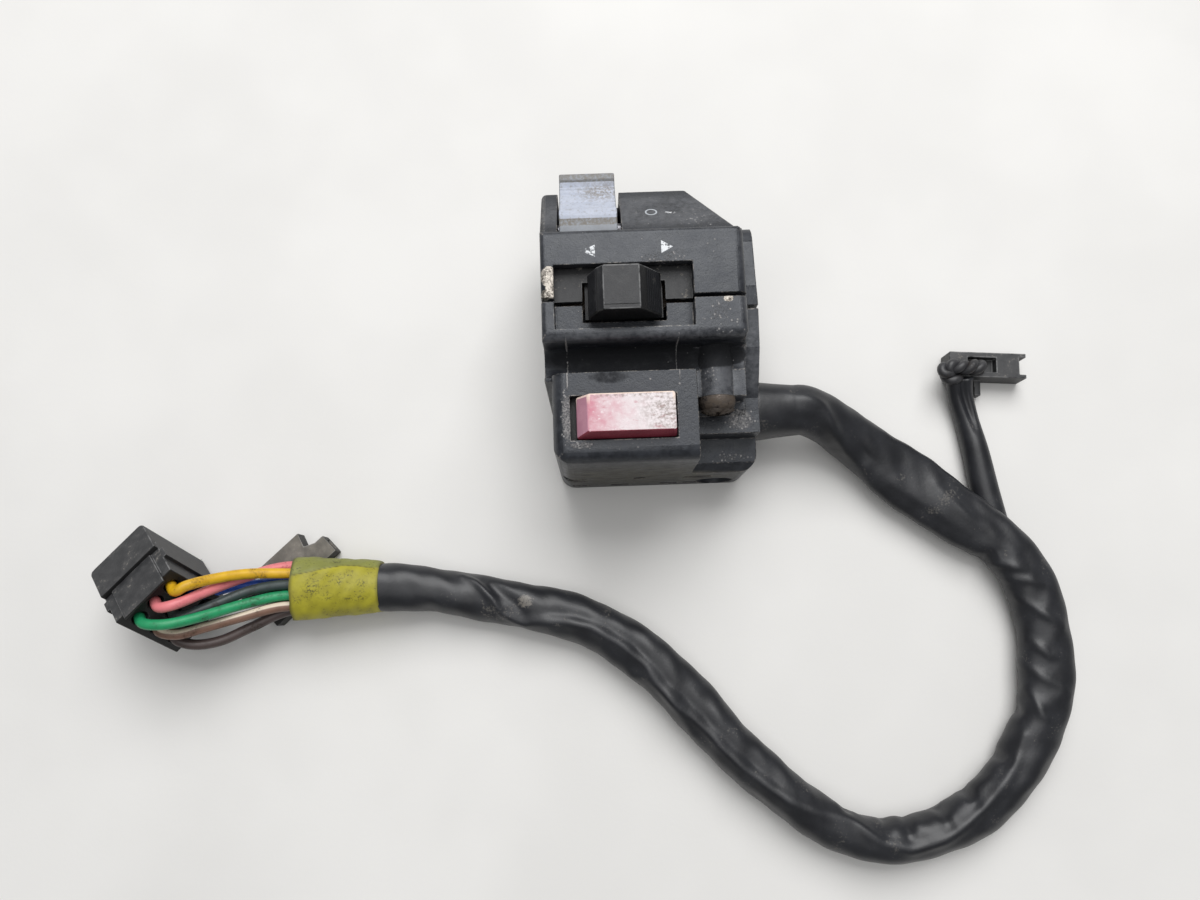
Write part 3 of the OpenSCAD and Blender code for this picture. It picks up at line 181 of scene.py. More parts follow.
class Graph:
    """The node tree of one material."""

    def __init__(self, name: str) -> None:
        """Starts a material with a Principled shader.

        Args:
            name: The material's name.
        """
        self.material = bpy.data.materials.new(name)
        self.material.use_nodes = True
        self.tree = self.material.node_tree
        self.shader = self.tree.nodes["Principled BSDF"]
        self.place = self.add("ShaderNodeTexCoord", {}, {}, "Object")

    def add(self, kind: str, settings: dict[str, Any], inputs: dict[Any, Any], output: Any = 0) -> Sock:
        """Adds one node.

        Args:
            kind: The node's type.
            settings: Properties that are set first.
            inputs: Values or links by socket name or index.
            output: The output socket's name or index.

        Returns:
            The chosen output.
        """
        node = self.tree.nodes.new(kind)
        for key, value in settings.items():
            setattr(node, key, value)
        for key, value in inputs.items():
            self.feed(node.inputs[key], value)
        return Sock(self, node.outputs[output])

    def feed(self, socket: bpy.types.NodeSocket, value: Any) -> None:
        """Links an input socket to another socket, or sets its plain value.

        Args:
            socket: The input.
            value: A Sock or a plain value.
        """
        if isinstance(value, Sock):
            self.tree.links.new(value.socket, socket)
        else:
            socket.default_value = value

    def vector(self, operation: str, first: Any, second: Any, output: Any = 0) -> Sock:
        """One Vector Math node on two vectors."""
        return self.add("ShaderNodeVectorMath", {"operation": operation}, {0: first, 1: second}, output)

    def axis(self, name: str) -> Sock:
        """One Object coordinate, in mm."""
        return self.add("ShaderNodeSeparateXYZ", {}, {0: self.place}, name) * MM_PER_M

    def attribute(self, name: str) -> Sock:
        """A value that the mesh carries."""
        return self.add("ShaderNodeAttribute", {"attribute_name": name}, {}, "Fac")

    def noise(self, size: float, detail: float = 3.0, stretch: Triple = (1, 1, 1), rough: float = 0.55) -> Sock:
        """Smooth noise with features of a given size.

        Args:
            size: Feature size in mm.
            detail: Octaves.
            stretch: How much longer the features are along X, Y and Z.
            rough: How strong the finer octaves are.

        Returns:
            The noise, from 0 to 1 about 0.5.
        """
        inverse = tuple(1.0 / value for value in stretch)
        place = self.add("ShaderNodeMapping", {}, {"Vector": self.place, "Scale": inverse})
        return self.add("ShaderNodeTexNoise", {}, {"Vector": place, "Scale": MM_PER_M / size, "Detail": detail,
                                                   "Roughness": rough}, 0)

    def specks(self, gap: float, size: float) -> Sock:
        """Small dots.

        Args:
            gap: Mean distance between dots in mm.
            size: Dot radius in mm.

        Returns:
            1 on a dot and 0 elsewhere.
        """
        cells = self.add("ShaderNodeTexVoronoi", {}, {"Vector": self.place, "Scale": MM_PER_M / gap}, "Distance")
        return cells.ramp(size / gap * 1.3, size / gap * 0.7)

    def spot(self, spot: Spot) -> Sock:
        """A soft patch times its strength."""
        moved = self.vector("SUBTRACT", self.place, mm(*spot.at))
        scaled = self.vector("DIVIDE", moved, mm(*spot.radii))
        far = self.vector("LENGTH", scaled, (0, 0, 0), "Value")
        return far.ramp(1 + spot.soft, 1 - spot.soft) * spot.strength

    def spots(self, spots: Iterable[Spot]) -> Number:
        """Several patches joined by the larger."""
        total: Number = 0.0
        for spot in spots:
            total = self.spot(spot) | total
        return total

    def outline(self, corners: Sequence[Pair]) -> Sock:
        """A filled convex outline drawn on X and Y.

        Args:
            corners: Corners in mm, anticlockwise.

        Returns:
            1 inside and 0 outside.
        """
        x, y = self.axis("X"), self.axis("Y")
        inside: Number = 1.0
        for (x0, y0), (x1, y1) in zip(corners, [*corners[1:], corners[0]]):
            length = math.hypot(x1 - x0, y1 - y0)
            nx, ny = (y0 - y1) / length, (x1 - x0) / length
            inside = (x * nx + y * ny - (x0 * nx + y0 * ny)).ramp(-0.06, 0.06) * inside
        return inside

    def mix(self, factor: Number, first: Any, second: Any) -> Sock:
        """A colour between two by a factor."""
        return self.add("ShaderNodeMix", {"data_type": "RGBA"}, {0: factor, 6: first, 7: second}, 2)

    def finish(self, colour: Any, roughness: Number, metallic: Number = 0.0, height: Union[Sock, None] = None,
               depth: float = 0.05, specular: float = 0.5) -> bpy.types.Material:
        """Feeds the shader.

        Args:
            colour: Base colour.
            roughness: Roughness.
            metallic: How much of the surface is bare metal.
            height: Relief, from 0 to 1.
            depth: The relief's depth in mm.
            specular: Specular level.

        Returns:
            The finished material.
        """
        for key, value in {"Base Color": colour, "Roughness": roughness, "Metallic": metallic}.items():
            self.feed(self.shader.inputs[key], value)
        self.shader.inputs["Specular IOR Level"].default_value = specular
        if height is not None:
            bump = self.add("ShaderNodeBump", {}, {"Strength": 1.0, "Distance": depth * MM, "Height": height})
            self.feed(self.shader.inputs["Normal"], bump)
        return self.material


# ---------------------------------------------------------------- finishes


@dataclass(frozen=True)
class CastPaint:
    """Worn black paint over die-cast metal, with dust, chips, drawn marks, painted shade in some stains and pale
    patches that are partly painted highlight.
    """

    name: str
    dust: tuple[Spot, ...]
    chips: tuple[Spot, ...]
    grime: tuple[Spot, ...] = ()
    stains_and_shade: tuple[Spot, ...] = ()
    bloom_and_sheen: tuple[Spot, ...] = ()
    outlines: tuple[tuple[tuple[Pair, ...], float], ...] = ()
    rings: tuple[Triple, ...] = ()

    def make(self) -> bpy.types.Material:
        """Builds the paint.

        Returns:
            The material.
        """
        g = Graph(self.name)
        fine, mottle, cloud = g.noise(0.35, 2), g.noise(3.0, 4), g.noise(9.0, 3)
        crumbs, peel = g.noise(0.55, 4, rough=0.7), g.noise(1.3, 4, rough=0.65)
        paint = g.mix((mottle + peel).ramp(0.75, 1.3), (0.0088, 0.0100, 0.0135, 1), (0.0270, 0.0295, 0.0365, 1))
        # Darkened patches: partly real stains, partly painted shade where the spots lie in shaded grooves and recesses.
        stain_and_shade = (g.spots(self.stains_and_shade) * 1.1 + mottle * 0.9 + peel * 0.5 - 0.7).ramp(0.40, 0.95)
        # Pale slate patches: partly a grey bloom on the paint, partly painted highlight.
        paint = g.mix(g.spots(self.bloom_and_sheen) * (peel + cloud).ramp(0.6, 1.3), paint, srgb(0.36, 0.365, 0.38))
        paint = g.mix(stain_and_shade * 0.85, paint, (0.004, 0.004, 0.005, 1))
        streak = g.noise(0.9, 4, (7, 1, 1), 0.65)
        grime = g.spots(self.grime) * (mottle + streak).ramp(0.45, 1.1)
        paint = g.mix(grime, paint, g.mix(streak.ramp(0.35, 0.68), srgb(0.25, 0.24, 0.215), srgb(0.42, 0.405, 0.36)))
        grit = g.noise(0.38, 5, rough=0.8)
        lay = g.spots(self.dust)
        dust = (lay * cloud.ramp(0.2, 0.5) + crumbs * 0.55 + grit * 0.6).ramp(1.02, 1.3)
        dots = g.specks(1.0, 0.24) * (lay + peel * 0.8).ramp(0.66, 0.86)
        dots = dots | (g.specks(2.2, 0.15) * cloud.ramp(0.42, 0.66))
        dust = dust | (dots * 0.9)
        edge = g.attribute("edge") * (crumbs + mottle).ramp(0.9, 1.2) * stain_and_shade.ramp(0.5, 0.1)
        chip = (g.spots(self.chips) * 0.9 + peel * 0.8 + crumbs * 0.5 - 0.65).ramp(0.42, 0.54)
        bare = chip | (edge * 0.35)
        colour = g.mix(dust * 0.85, paint, srgb(0.60, 0.59, 0.585))
        metal = g.mix((crumbs + peel).ramp(0.85, 1.15), srgb(0.36, 0.335, 0.31), srgb(0.80, 0.77, 0.73))
        colour = g.mix(bare, colour, metal)
        flake = crumbs * 0.6 + g.noise(1.3, 3) * 0.6
        for corners, wear in self.outlines:
            colour = g.mix(g.outline(corners) * flake.ramp(wear, wear + 0.08), colour, srgb(0.86, 0.87, 0.88))
        for x, y, z in self.rings:
            far = g.vector("DISTANCE", g.place, mm(x, y, z), "Value") * MM_PER_M
            colour = g.mix((far - 1.25).size().ramp(0.24, 0.12), colour, srgb(0.66, 0.68, 0.70))
        rough = 0.14 + (mottle + peel) * 0.29 + dust * 0.3 + grime * 0.3 + stain_and_shade * 0.4
        height = fine * 0.2 + peel * 0.5 + crumbs * (0.25 + dust * 0.6 + chip) - chip * 0.8
        # Reflections tinted blue: a painted blue cast standing in for a bluish sky.
        g.shader.inputs["Specular Tint"].default_value = (0.93, 0.96, 1.0, 1.0)
        return g.finish(colour, rough, bare * 0.5, height, 0.18)


@dataclass(frozen=True)
class MouldedPlastic:
    """Moulded plastic with a fine grain, uneven tone, rubbed edges, a little dust and painted shade on faces marked
    dark.
    """

    name: str
    base: Colour
    light: Colour
    roughness: float = 0.45
    grain: float = 0.3
    depth: float = 0.03
    dusty: float = 0.3
    edge: float = 0.4
    specular: float = 0.5

    def make(self) -> bpy.types.Material:
        """Builds the plastic.

        Returns:
            The material.
        """
        g = Graph(self.name)
        fine, cloud, crumbs = g.noise(self.grain, 2), g.noise(2.6, 5, rough=0.62), g.noise(0.7, 4, rough=0.7)
        colour = g.mix(cloud.ramp(0.3, 0.72), self.base, self.light)
        dust = (crumbs + cloud).ramp(1.12, 1.3) * self.dusty
        colour = g.mix(dust, colour, srgb(0.55, 0.53, 0.50))
        colour = g.mix(g.attribute("edge") * cloud.ramp(0.3, 0.6) * self.edge, colour, srgb(0.62, 0.62, 0.62))
        # Faces marked dark are painted near black: painted shade in mouths, grooves and on faces turned from the light.
        colour = g.mix(g.attribute("dark") * 0.7, colour, grey(0.004))
        rough = self.roughness - 0.08 + cloud * 0.28 + dust * 0.3
        return g.finish(colour, rough, 0.0, fine * 0.6 + crumbs * 0.6, self.depth, self.specular)


@dataclass(frozen=True)
class HornPlastic:
    """Red plastic that has bleached and chalked on top, with darker sides and painted shade low down in its gap."""

    name: str = "faded_red_plastic"
    left: float = -17.0
    right: float = 3.2

    def make(self) -> bpy.types.Material:
        """Builds the plastic.

        Returns:
            The material.
        """
        g = Graph(self.name)
        fine, crumbs, cloud = g.noise(0.28, 3), g.noise(0.6, 4, rough=0.7), g.noise(3.2, 4)
        along = (g.axis("X") - self.left) * (1.0 / (self.right - self.left))
        worn = (along * 0.9 + cloud * 0.9).ramp(0.25, 1.05)
        scuff = g.noise(1.1, 5, (2.2, 1, 1), 0.68)
        top = g.mix(worn, srgb(0.78, 0.47, 0.54), srgb(0.88, 0.845, 0.85))
        top = g.mix((scuff + cloud * 0.5).ramp(0.80, 0.98) * 0.6, top, srgb(0.74, 0.43, 0.49))
        top = g.mix((scuff + crumbs).ramp(0.92, 0.74) * 0.7, top, srgb(0.92, 0.88, 0.89))
        brown = g.spots((Spot((1.6, -25.6, 27.5), (5.0, 4.8, 2), 1.0, 0.8),
                         Spot((-5.5, -21.9, 27.5), (9, 0.8, 2), 0.9)))
        top = g.mix(brown * (scuff + crumbs).ramp(0.86, 1.2) * 0.75, top, srgb(0.45, 0.39, 0.34))
        side = g.mix(cloud, srgb(0.40, 0.09, 0.15), srgb(0.62, 0.24, 0.31))
        end = g.mix(cloud, srgb(0.68, 0.45, 0.54), srgb(0.83, 0.62, 0.68))
        colour = g.mix(g.attribute("side"), top, side)
        colour = g.mix(g.attribute("end"), colour, end)
        rubbed = g.attribute("edge") * g.axis("Y").ramp(-24.5, -22.0)
        colour = g.mix(rubbed * 0.8, colour, srgb(0.93, 0.84, 0.78))
        # Below the recess rim the button is painted near black: painted shade in the gap round it, with some dirt.
        colour = g.mix(g.axis("Z").ramp(23.6, 22.6), colour, grey(0.003))
        return g.finish(colour, 0.42 + crumbs * 0.25, 0.0, fine * 0.5 + crumbs * 0.6, 0.09)


@dataclass(frozen=True)
class RockerPlastic:
    """Pale grey plastic with grubby speckle in the hollow of the face, dirt on its ridges and painted shade off the
    hollow.
    """

    name: str = "pale_rocker_plastic"

    def make(self) -> bpy.types.Material:
        """Builds the plastic.

        Returns:
            The material.
        """
        g = Graph(self.name)
        fine, crumbs, cloud = g.noise(0.3, 3), g.noise(0.55, 4, rough=0.75), g.noise(3.0, 4)
        grain = g.noise(0.9, 4, rough=0.7)
        face = g.mix(cloud, srgb(0.66, 0.69, 0.755), srgb(0.76, 0.78, 0.83))
        # The lip, the ridge, the lower band and the sides take a darker grey: painted shade on faces turned from the
        # light.
        band = g.mix(cloud, srgb(0.50, 0.52, 0.55), srgb(0.60, 0.62, 0.65))
        colour = g.mix(g.attribute("hollow"), band, face)
        dirt = g.attribute("dirt") * (crumbs + grain).ramp(0.70, 1.15)
        colour = g.mix(dirt * 0.9, colour, srgb(0.42, 0.385, 0.33))
        rubbed = g.spots((Spot((-11.0, 29.6, 13.6), (5.5, 3.4, 4.0), 1.0, 0.6),
                          Spot((-6.6, 24.0, 18.0), (1.4, 9, 9), 0.8, 0.6)))
        speck = ((crumbs + grain).ramp(1.08, 1.22) * 0.6 | (rubbed * (crumbs + grain).ramp(0.86, 1.12))) \
            * g.attribute("hollow")
        colour = g.mix(speck * 0.75, colour, srgb(0.46, 0.42, 0.36))
        return g.finish(colour, 0.45 + crumbs * 0.2, 0.0, fine * 0.4 + crumbs * 0.8, 0.09)


@dataclass(frozen=True)
class BareMetal:
    """Metal with fine scratches, tarnish and, where it is old, a brown bloom of rust."""

    name: str
    base: Colour
    dark: Colour
    roughness: float = 0.35
    rust: float = 0.0

    def make(self) -> bpy.types.Material:
        """Builds the metal.

        Returns:
            The material.
        """
        g = Graph(self.name)
        brush, cloud, crumbs = g.noise(0.25, 2, (6, 1, 1)), g.noise(2.2, 4), g.noise(0.5, 4, rough=0.7)
        colour = g.mix(cloud.ramp(0.3, 0.7), self.base, self.dark)
        rust = (cloud + crumbs).ramp(0.72, 1.12) * self.rust
        colour = g.mix(rust, colour, srgb(0.33, 0.29, 0.25))
        rough = self.roughness + brush * 0.15 + rust * 0.35
        return g.finish(colour, rough, 1.0 - rust * 0.85, brush * 0.4 + crumbs * (rust + 0.15), 0.05)


@dataclass(frozen=True)
class SleeveVinyl:
    """Soft black vinyl sleeve with a satin skin, scuffs and a few dirty spots."""

    name: str
    dirt: tuple[Spot, ...] = ()

    def make(self) -> bpy.types.Material:
        """Builds the vinyl.

        Returns:
            The material.
        """
        g = Graph(self.name)
        skin, cloud, crumbs = g.noise(0.8, 3), g.noise(7.0, 4), g.noise(0.6, 4, rough=0.7)
        colour = g.mix(cloud.ramp(0.3, 0.72), (0.0095, 0.0100, 0.0125, 1), (0.0190, 0.0200, 0.0240, 1))
        scuff = (crumbs + cloud).ramp(1.18, 1.32) * 0.35
        dirt = (g.spots(self.dirt) + crumbs).ramp(0.9, 1.2) * 0.8
        colour = g.mix(scuff | dirt, colour, srgb(0.50, 0.48, 0.45))
        return g.finish(colour, 0.33 + cloud * 0.14 + scuff * 0.4, 0.0, skin * 0.5 + cloud, 0.06)


@dataclass(frozen=True)
class WireCoat:
    """Coloured wire insulation, a little grubby, with an optional tracer stripe along its UV map."""

    name: str
    base: Colour
    dark: Colour
    tracer: Union[Colour, None] = None
    band: Pair = (0.09, 0.23)

    def make(self) -> bpy.types.Material:
        """Builds the coat.

        Returns:
            The material.
        """
        g = Graph(self.name)
        cloud, crumbs, streak = g.noise(4.0, 4), g.noise(0.5, 4, rough=0.7), g.noise(0.5, 3, (6, 1, 1))
        colour = g.mix(cloud.ramp(0.34, 0.8), self.base, self.dark)
        if self.tracer is not None:
            around = g.add("ShaderNodeSeparateXYZ", {}, {0: g.add("ShaderNodeUVMap", {"uv_map": "UVMap"}, {})}, "Y")
            stripe = around.ramp(self.band[0] - 0.02, self.band[0] + 0.02)
            stripe = stripe * around.ramp(self.band[1] + 0.02, self.band[1] - 0.02)
            colour = g.mix(stripe * 0.9, colour, self.tracer)
        grub = (crumbs + cloud + streak * 0.4).ramp(1.28, 1.55)
        colour = g.mix(grub * 0.6, colour, srgb(0.20, 0.16, 0.13))
        return g.finish(colour, 0.40 + cloud * 0.12 + grub * 0.3, 0.0, streak * 0.5 + crumbs * 0.4, 0.04)


@dataclass(frozen=True)
class TapeFilm:
    """Aged yellow-green tape with a second layer, dark flecks and a darker olive tone along the underside."""

    name: str = "aged_tape"

    def make(self) -> bpy.types.Material:
        """Builds the film.

        Returns:
            The material.
        """
        g = Graph(self.name)
        cloud, crumbs, streak = g.noise(4.5, 4), g.noise(0.55, 4, rough=0.75), g.noise(0.8, 4, (7, 1, 1))
        lower = g.mix(cloud.ramp(0.3, 0.7), srgb(0.66, 0.63, 0.15), srgb(0.57, 0.54, 0.12))
        upper = g.mix(cloud.ramp(0.3, 0.7), srgb(0.46, 0.47, 0.22), srgb(0.52, 0.53, 0.24))
        colour = g.mix(g.attribute("layer"), lower, upper)
        colour = g.mix(g.attribute("rim"), colour, srgb(0.60, 0.57, 0.20))
        fleck = crumbs.ramp(0.49, 0.56) * g.attribute("flecks") | (crumbs.ramp(0.56, 0.62) * cloud.ramp(0.45, 0.58))
        # Darker olive towards the underside.
        grime = g.attribute("grime") * (streak + cloud).ramp(0.75, 1.15)
        colour = g.mix(grime * 0.7, colour, srgb(0.30, 0.29, 0.13))
        colour = g.mix((fleck | g.attribute("seam")) * 0.75, colour, srgb(0.19, 0.18, 0.08))
        return g.finish(colour, 0.48 + cloud * 0.15, 0.0, streak * 0.6 + crumbs * 0.3, 0.05)


@dataclass(frozen=True)
class TableTop:
    """Pale table with a faint cloud."""

    name: str = "pale_table"

    def make(self) -> bpy.types.Material:
        """Builds the table top.

        Returns:
            The material.
        """
        g = Graph(self.name)
        cloud = g.noise(60.0, 3)
        colour = g.mix(cloud.ramp(0.3, 0.7), srgb(0.87, 0.865, 0.855), srgb(0.895, 0.89, 0.88))
        return g.finish(colour, 0.6, 0.0, g.noise(1.5, 2), 0.02, 0.3)


BRASS = BareMetal("contact_brass_finish", srgb(0.80, 0.66, 0.36), srgb(0.62, 0.48, 0.24), 0.32)
STEEL = BareMetal("bright_steel_finish", srgb(0.70, 0.70, 0.72), srgb(0.55, 0.55, 0.57), 0.30)
OLD_SCREW = BareMetal("rusted_screw_finish", srgb(0.42, 0.39, 0.37), srgb(0.30, 0.27, 0.25), 0.42, 0.85)
BLACK_PLASTIC = MouldedPlastic("black_plastic_finish", (0.010, 0.0105, 0.012, 1), (0.017, 0.0175, 0.020, 1), 0.5,
                               0.25, 0.05, 0.75)
KNOB_PLASTIC = MouldedPlastic("knob_plastic_finish", (0.0080, 0.0085, 0.0105, 1), (0.0135, 0.0143, 0.0172, 1),
                              0.40, 0.3, 0.03, 0.15, 0.35, 0.38)
INSULATOR = MouldedPlastic("insulator_board", srgb(0.22, 0.165, 0.11), srgb(0.28, 0.21, 0.14), 0.55)
PLUG_PLASTIC = MouldedPlastic("plug_plastic", (0.026, 0.0268, 0.029, 1), (0.055, 0.055, 0.057, 1), 0.48, 0.4, 0.04, 0.6)
GREY_PLUG = MouldedPlastic("grey_plug_plastic", srgb(0.36, 0.345, 0.32), srgb(0.47, 0.45, 0.42), 0.55, 0.5, 0.06, 0.6)


# ---------------------------------------------------------------- modelling bench


class Bench:
    """Operators on one object at a time, as they are used by hand."""

    @staticmethod
    def only(obj: bpy.types.Object) -> None:
        """Selects one object and makes it active."""
        bpy.ops.object.select_all(action="DESELECT")
        obj.select_set(True)
        bpy.context.view_layer.objects.active = obj

    @staticmethod
    def edit(obj: bpy.types.Object, select: str = "DESELECT") -> None:
        """Opens an object in edit mode with all or nothing selected."""
        Bench.only(obj)
        bpy.ops.object.mode_set(mode="EDIT")
        bpy.ops.mesh.select_mode(type="FACE")
        bpy.ops.mesh.select_all(action=select)

    @staticmethod
    def close() -> None:
        """Leaves edit mode."""
        bpy.ops.object.mode_set(mode="OBJECT")

    @staticmethod
    def pick(obj: bpy.types.Object, test: Callable[[Vector, Vector], bool]) -> None:
        """Opens an object with the faces selected that pass a test.

        Args:
            obj: The object.
            test: Takes a face's middle and normal.
        """
        Bench.edit(obj)
        Bench.close()
        for face in obj.data.polygons:
            face.select = test(face.center, face.normal)
        bpy.ops.object.mode_set(mode="EDIT")

    @staticmethod
    def extrude(move: Sequence[float]) -> None:
        """Draws the picked faces out along a vector in metres and leaves edit mode."""
        bpy.ops.mesh.extrude_region_move(TRANSFORM_OT_translate={"value": move})
        Bench.close()

    @staticmethod
    def shift(move: Sequence[float]) -> None:
        """Moves what is picked along a vector in metres and leaves edit mode."""
        bpy.ops.transform.translate(value=move)
        Bench.close()

    @staticmethod
    def score(at: Sequence[float], across: Sequence[float]) -> None:
        """Cuts the picked faces along a plane, given in metres, and leaves edit mode."""
        bpy.ops.mesh.bisect(plane_co=at, plane_no=across)
        Bench.close()

    @staticmethod
    def outward(obj: bpy.types.Object) -> None:
        """Turns all faces outwards."""
        Bench.edit(obj, "SELECT")
        bpy.ops.mesh.normals_make_consistent(inside=False)
        Bench.close()

    @staticmethod
    def link(name: str, data: Any) -> bpy.types.Object:
        """A new object of the scene over a mesh, light or camera."""
        obj = bpy.data.objects.new(name, data)
        bpy.context.scene.collection.objects.link(obj)
        return obj

    @staticmethod
    def apply(obj: bpy.types.Object, kind: str, settings: dict[str, Any]) -> None:
        """Adds a modifier with its settings and applies it."""
        Bench.only(obj)
        modifier = obj.modifiers.new(kind.lower(), kind)
        for key, value in settings.items():
            setattr(modifier, key, value)
        bpy.ops.object.modifier_apply(modifier=modifier.name)

    @staticmethod
    def smooth(obj: bpy.types.Object, degrees: float = 50.0) -> None:
        """Shades an object smooth across edges flatter than an angle, and the faces marked "flat" flat."""
        Bench.only(obj)
        bpy.ops.object.shade_smooth_by_angle(angle=math.radians(degrees))
        flat = obj.data.attributes.get("flat")
        if flat is not None:
            for face in obj.data.polygons:
                face.use_smooth = not flat.data[face.index].value

    @staticmethod
    def split_faces(obj: bpy.types.Object, wide: float) -> None:
        """Marks the wide faces in the attribute "flat" and splits every face into triangles.

        Args:
            obj: The object.
            wide: Mean width in mm from which a face counts as wide.
        """
        mesh = obj.data
        points = mesh.vertices
        flat = mesh.attributes.new("flat", "INT", "FACE")
        for face in mesh.polygons:
            longest = max((points[a].co - points[b].co).length for a, b in face.edge_keys)
            flat.data[face.index].value = int(face.area >= wide * MM * longest)
        Bench.edit(obj, "SELECT")
        bpy.ops.mesh.quads_convert_to_tris(quad_method="BEAUTY", ngon_method="BEAUTY")
        Bench.close()

    @staticmethod
    def copy_of(node: str, name: str) -> bpy.types.Object:
        """A merged, cleaned copy of a CAD node.

        Args:
            node: The CAD node.
            name: The copy's name.

        Returns:
            The copy, with its loose triangles joined into plain faces.
        """
        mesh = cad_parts[node].data.copy()
        mesh.name = name
        mesh.materials.clear()
        obj = Bench.link(name, mesh)
        Bench.edit(obj, "SELECT")
        bpy.ops.mesh.customdata_custom_splitnormals_clear()
        bpy.ops.mesh.remove_doubles(threshold=2e-6)
        bpy.ops.mesh.dissolve_limited(angle_limit=math.radians(0.6))
        Bench.close()
        return obj

    @staticmethod
    def round_edges(obj: bpy.types.Object, width: float, segments: int = 2, degrees: float = 28.0,
                    wide: float = 2.0) -> None:
        """Rounds the sharp edges and marks the rounded faces in the attribute "edge".

        Args:
            obj: The object.
            width: Width of the rounding in mm.
            segments: Faces across it.
            degrees: Edges sharper than this are rounded.
            wide: Mean width in mm from which a face is shaded flat.
        """
        Bench.split_faces(obj, wide)
        for _ in range(2):
            obj.data.materials.append(None)
        Bench.apply(obj, "BEVEL", {"width": width * MM, "segments": segments, "limit_method": "ANGLE",
                                   "angle_limit": math.radians(degrees), "use_clamp_overlap": False, "material": 1,
                                   "miter_outer": "MITER_SHARP", "harden_normals": False})
        mesh = obj.data
        edge = mesh.attributes.new("edge", "FLOAT", "CORNER")
        flat = mesh.attributes["flat"]
        values = np.zeros(len(mesh.loops), dtype=np.float32)
        for face in mesh.polygons:
            if face.material_index == 1:
                values[face.loop_start:face.loop_start + face.loop_total] = 1.0
                flat.data[face.index].value = 0
            face.material_index = 0
        edge.data.foreach_set("value", values)
        mesh.materials.clear()

    @staticmethod
    def fillet(obj: bpy.types.Object, test: Callable[[Vector, Vector], bool], width: float, segments: int = 4) -> None:
        """Rounds chosen edges.

        Args:
            obj: The object.
            test: Takes an edge's two ends, in mm.
            width: Width of the rounding in mm.
            segments: Faces across it.
        """
        Bench.edit(obj)
        bpy.ops.mesh.select_mode(type="EDGE")
        Bench.close()
        points = obj.data.vertices
        for edge in obj.data.edges:
            edge.select = test(points[edge.vertices[0]].co / MM, points[edge.vertices[1]].co / MM)
        bpy.ops.object.mode_set(mode="EDIT")
        bpy.ops.mesh.bevel(offset=width * MM, segments=segments, affect="EDGES", clamp_overlap=False)
        Bench.close()

    @staticmethod
    def round_plan(obj: bpy.types.Object, corner: Pair, radius: float, heights: Pair) -> None:
        """Rounds a corner as seen from above, with the rounded edges that meet there.

        Args:
            obj: The object.
            corner: The corner's X and Y in mm; its sign on each axis is the way out.
            radius: Radius in mm.
            heights: Z in mm where the rounding starts and where it is whole.
        """
        margin, ceiling, past_arc, shares = 0.3, 40.0, 1.2, (0.0, 0.2, 0.414, 0.668)
        out = np.sign(corner)
        middle = np.array(corner) - out * radius
        low = np.array([*np.minimum(corner, middle), heights[0]]) - margin
        high = np.array([*np.maximum(corner, middle), ceiling]) + margin
        cuts = [(axis, middle[axis] + out[axis] * radius * share) for axis in (0, 1) for share in shares]
        cuts += [(2, heights[0]), (2, heights[1])]
        for axis, at in cuts:
            Bench.edit(obj)
            bpy.ops.mesh.select_mode(type="FACE")
            Bench.close()
            points = np.array([v.co for v in obj.data.vertices]) / MM
            for face in obj.data.polygons:
                own = points[list(face.vertices)]
                face.select = bool((own.max(axis=0) > low).all() and (own.min(axis=0) < high).all())
            bpy.ops.object.mode_set(mode="EDIT")
            normal = np.eye(3)[axis]
            Bench.score((normal * at * MM).tolist(), normal.tolist())
        for vertex in obj.data.vertices:
            own = np.array(vertex.co) / MM
            reach = (own[:2] - middle) * out / radius
            if reach.min() > 1e-4 and reach.max() < past_arc:
                share = np.clip((own[2] - heights[0]) / (heights[1] - heights[0]), 0, 1)
                scale = 1 + share * (reach.max() / np.hypot(*reach) - 1)
                vertex.co.xy = ((middle + reach * out * radius * scale) * MM).tolist()

    @staticmethod
    def mark(obj: bpy.types.Object, name: str, value: Callable[[Vector, Vector], float]) -> None:
        """Writes a face attribute onto the face's corners.

        Args:
            obj: The object.
            name: The attribute's name.
            value: Gives the value from a face's middle and normal.
        """
        mesh = obj.data
        attribute = mesh.attributes.new(name, "FLOAT", "CORNER")
        values = np.zeros(len(mesh.loops), dtype=np.float32)
        for face in mesh.polygons:
            values[face.loop_start:face.loop_start + face.loop_total] = value(face.center, face.normal)
        attribute.data.foreach_set("value", values)

    @staticmethod
    def dress(obj: bpy.types.Object, material: bpy.types.Material) -> None:
        """Gives an object one material."""
        obj.data.materials.clear()
        obj.data.materials.append(material)


def place_piece(obj: bpy.types.Object, material: bpy.types.Material, body: Body, slot: str,
                *nodes: str) -> bpy.types.Object:
    """Dresses a piece and lets it ride on a body and stand for its CAD nodes.

    Args:
        obj: The piece.
        material: Its finish.
        body: The body it moves with.
        slot: The record's material slot; not used.
        nodes: CAD nodes that it stands for.

    Returns:
        The piece.
    """
    Bench.dress(obj, material)
    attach(obj, body.value)
    if nodes:
        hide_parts(*nodes)
    LOG.info("%s: %d faces on %s", obj.name, len(obj.data.polygons), body.value)
    return obj


def dress_node(node: str, material: bpy.types.Material) -> None:
    """Gives a CAD node that stays its finish."""
    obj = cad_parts[node]
    while len(obj.material_slots) < 1:
        obj.data.materials.append(None)
    for slot in obj.material_slots:
        slot.material = material
    LOG.info("%s: CAD node in %s", node, material.name)


# ---------------------------------------------------------------- cords and tubes


def distances(line: np.ndarray) -> np.ndarray:
    """How far along a row of points each one lies."""
    return np.concatenate([[0.0], np.cumsum(np.linalg.norm(np.diff(line, axis=0), axis=1))])


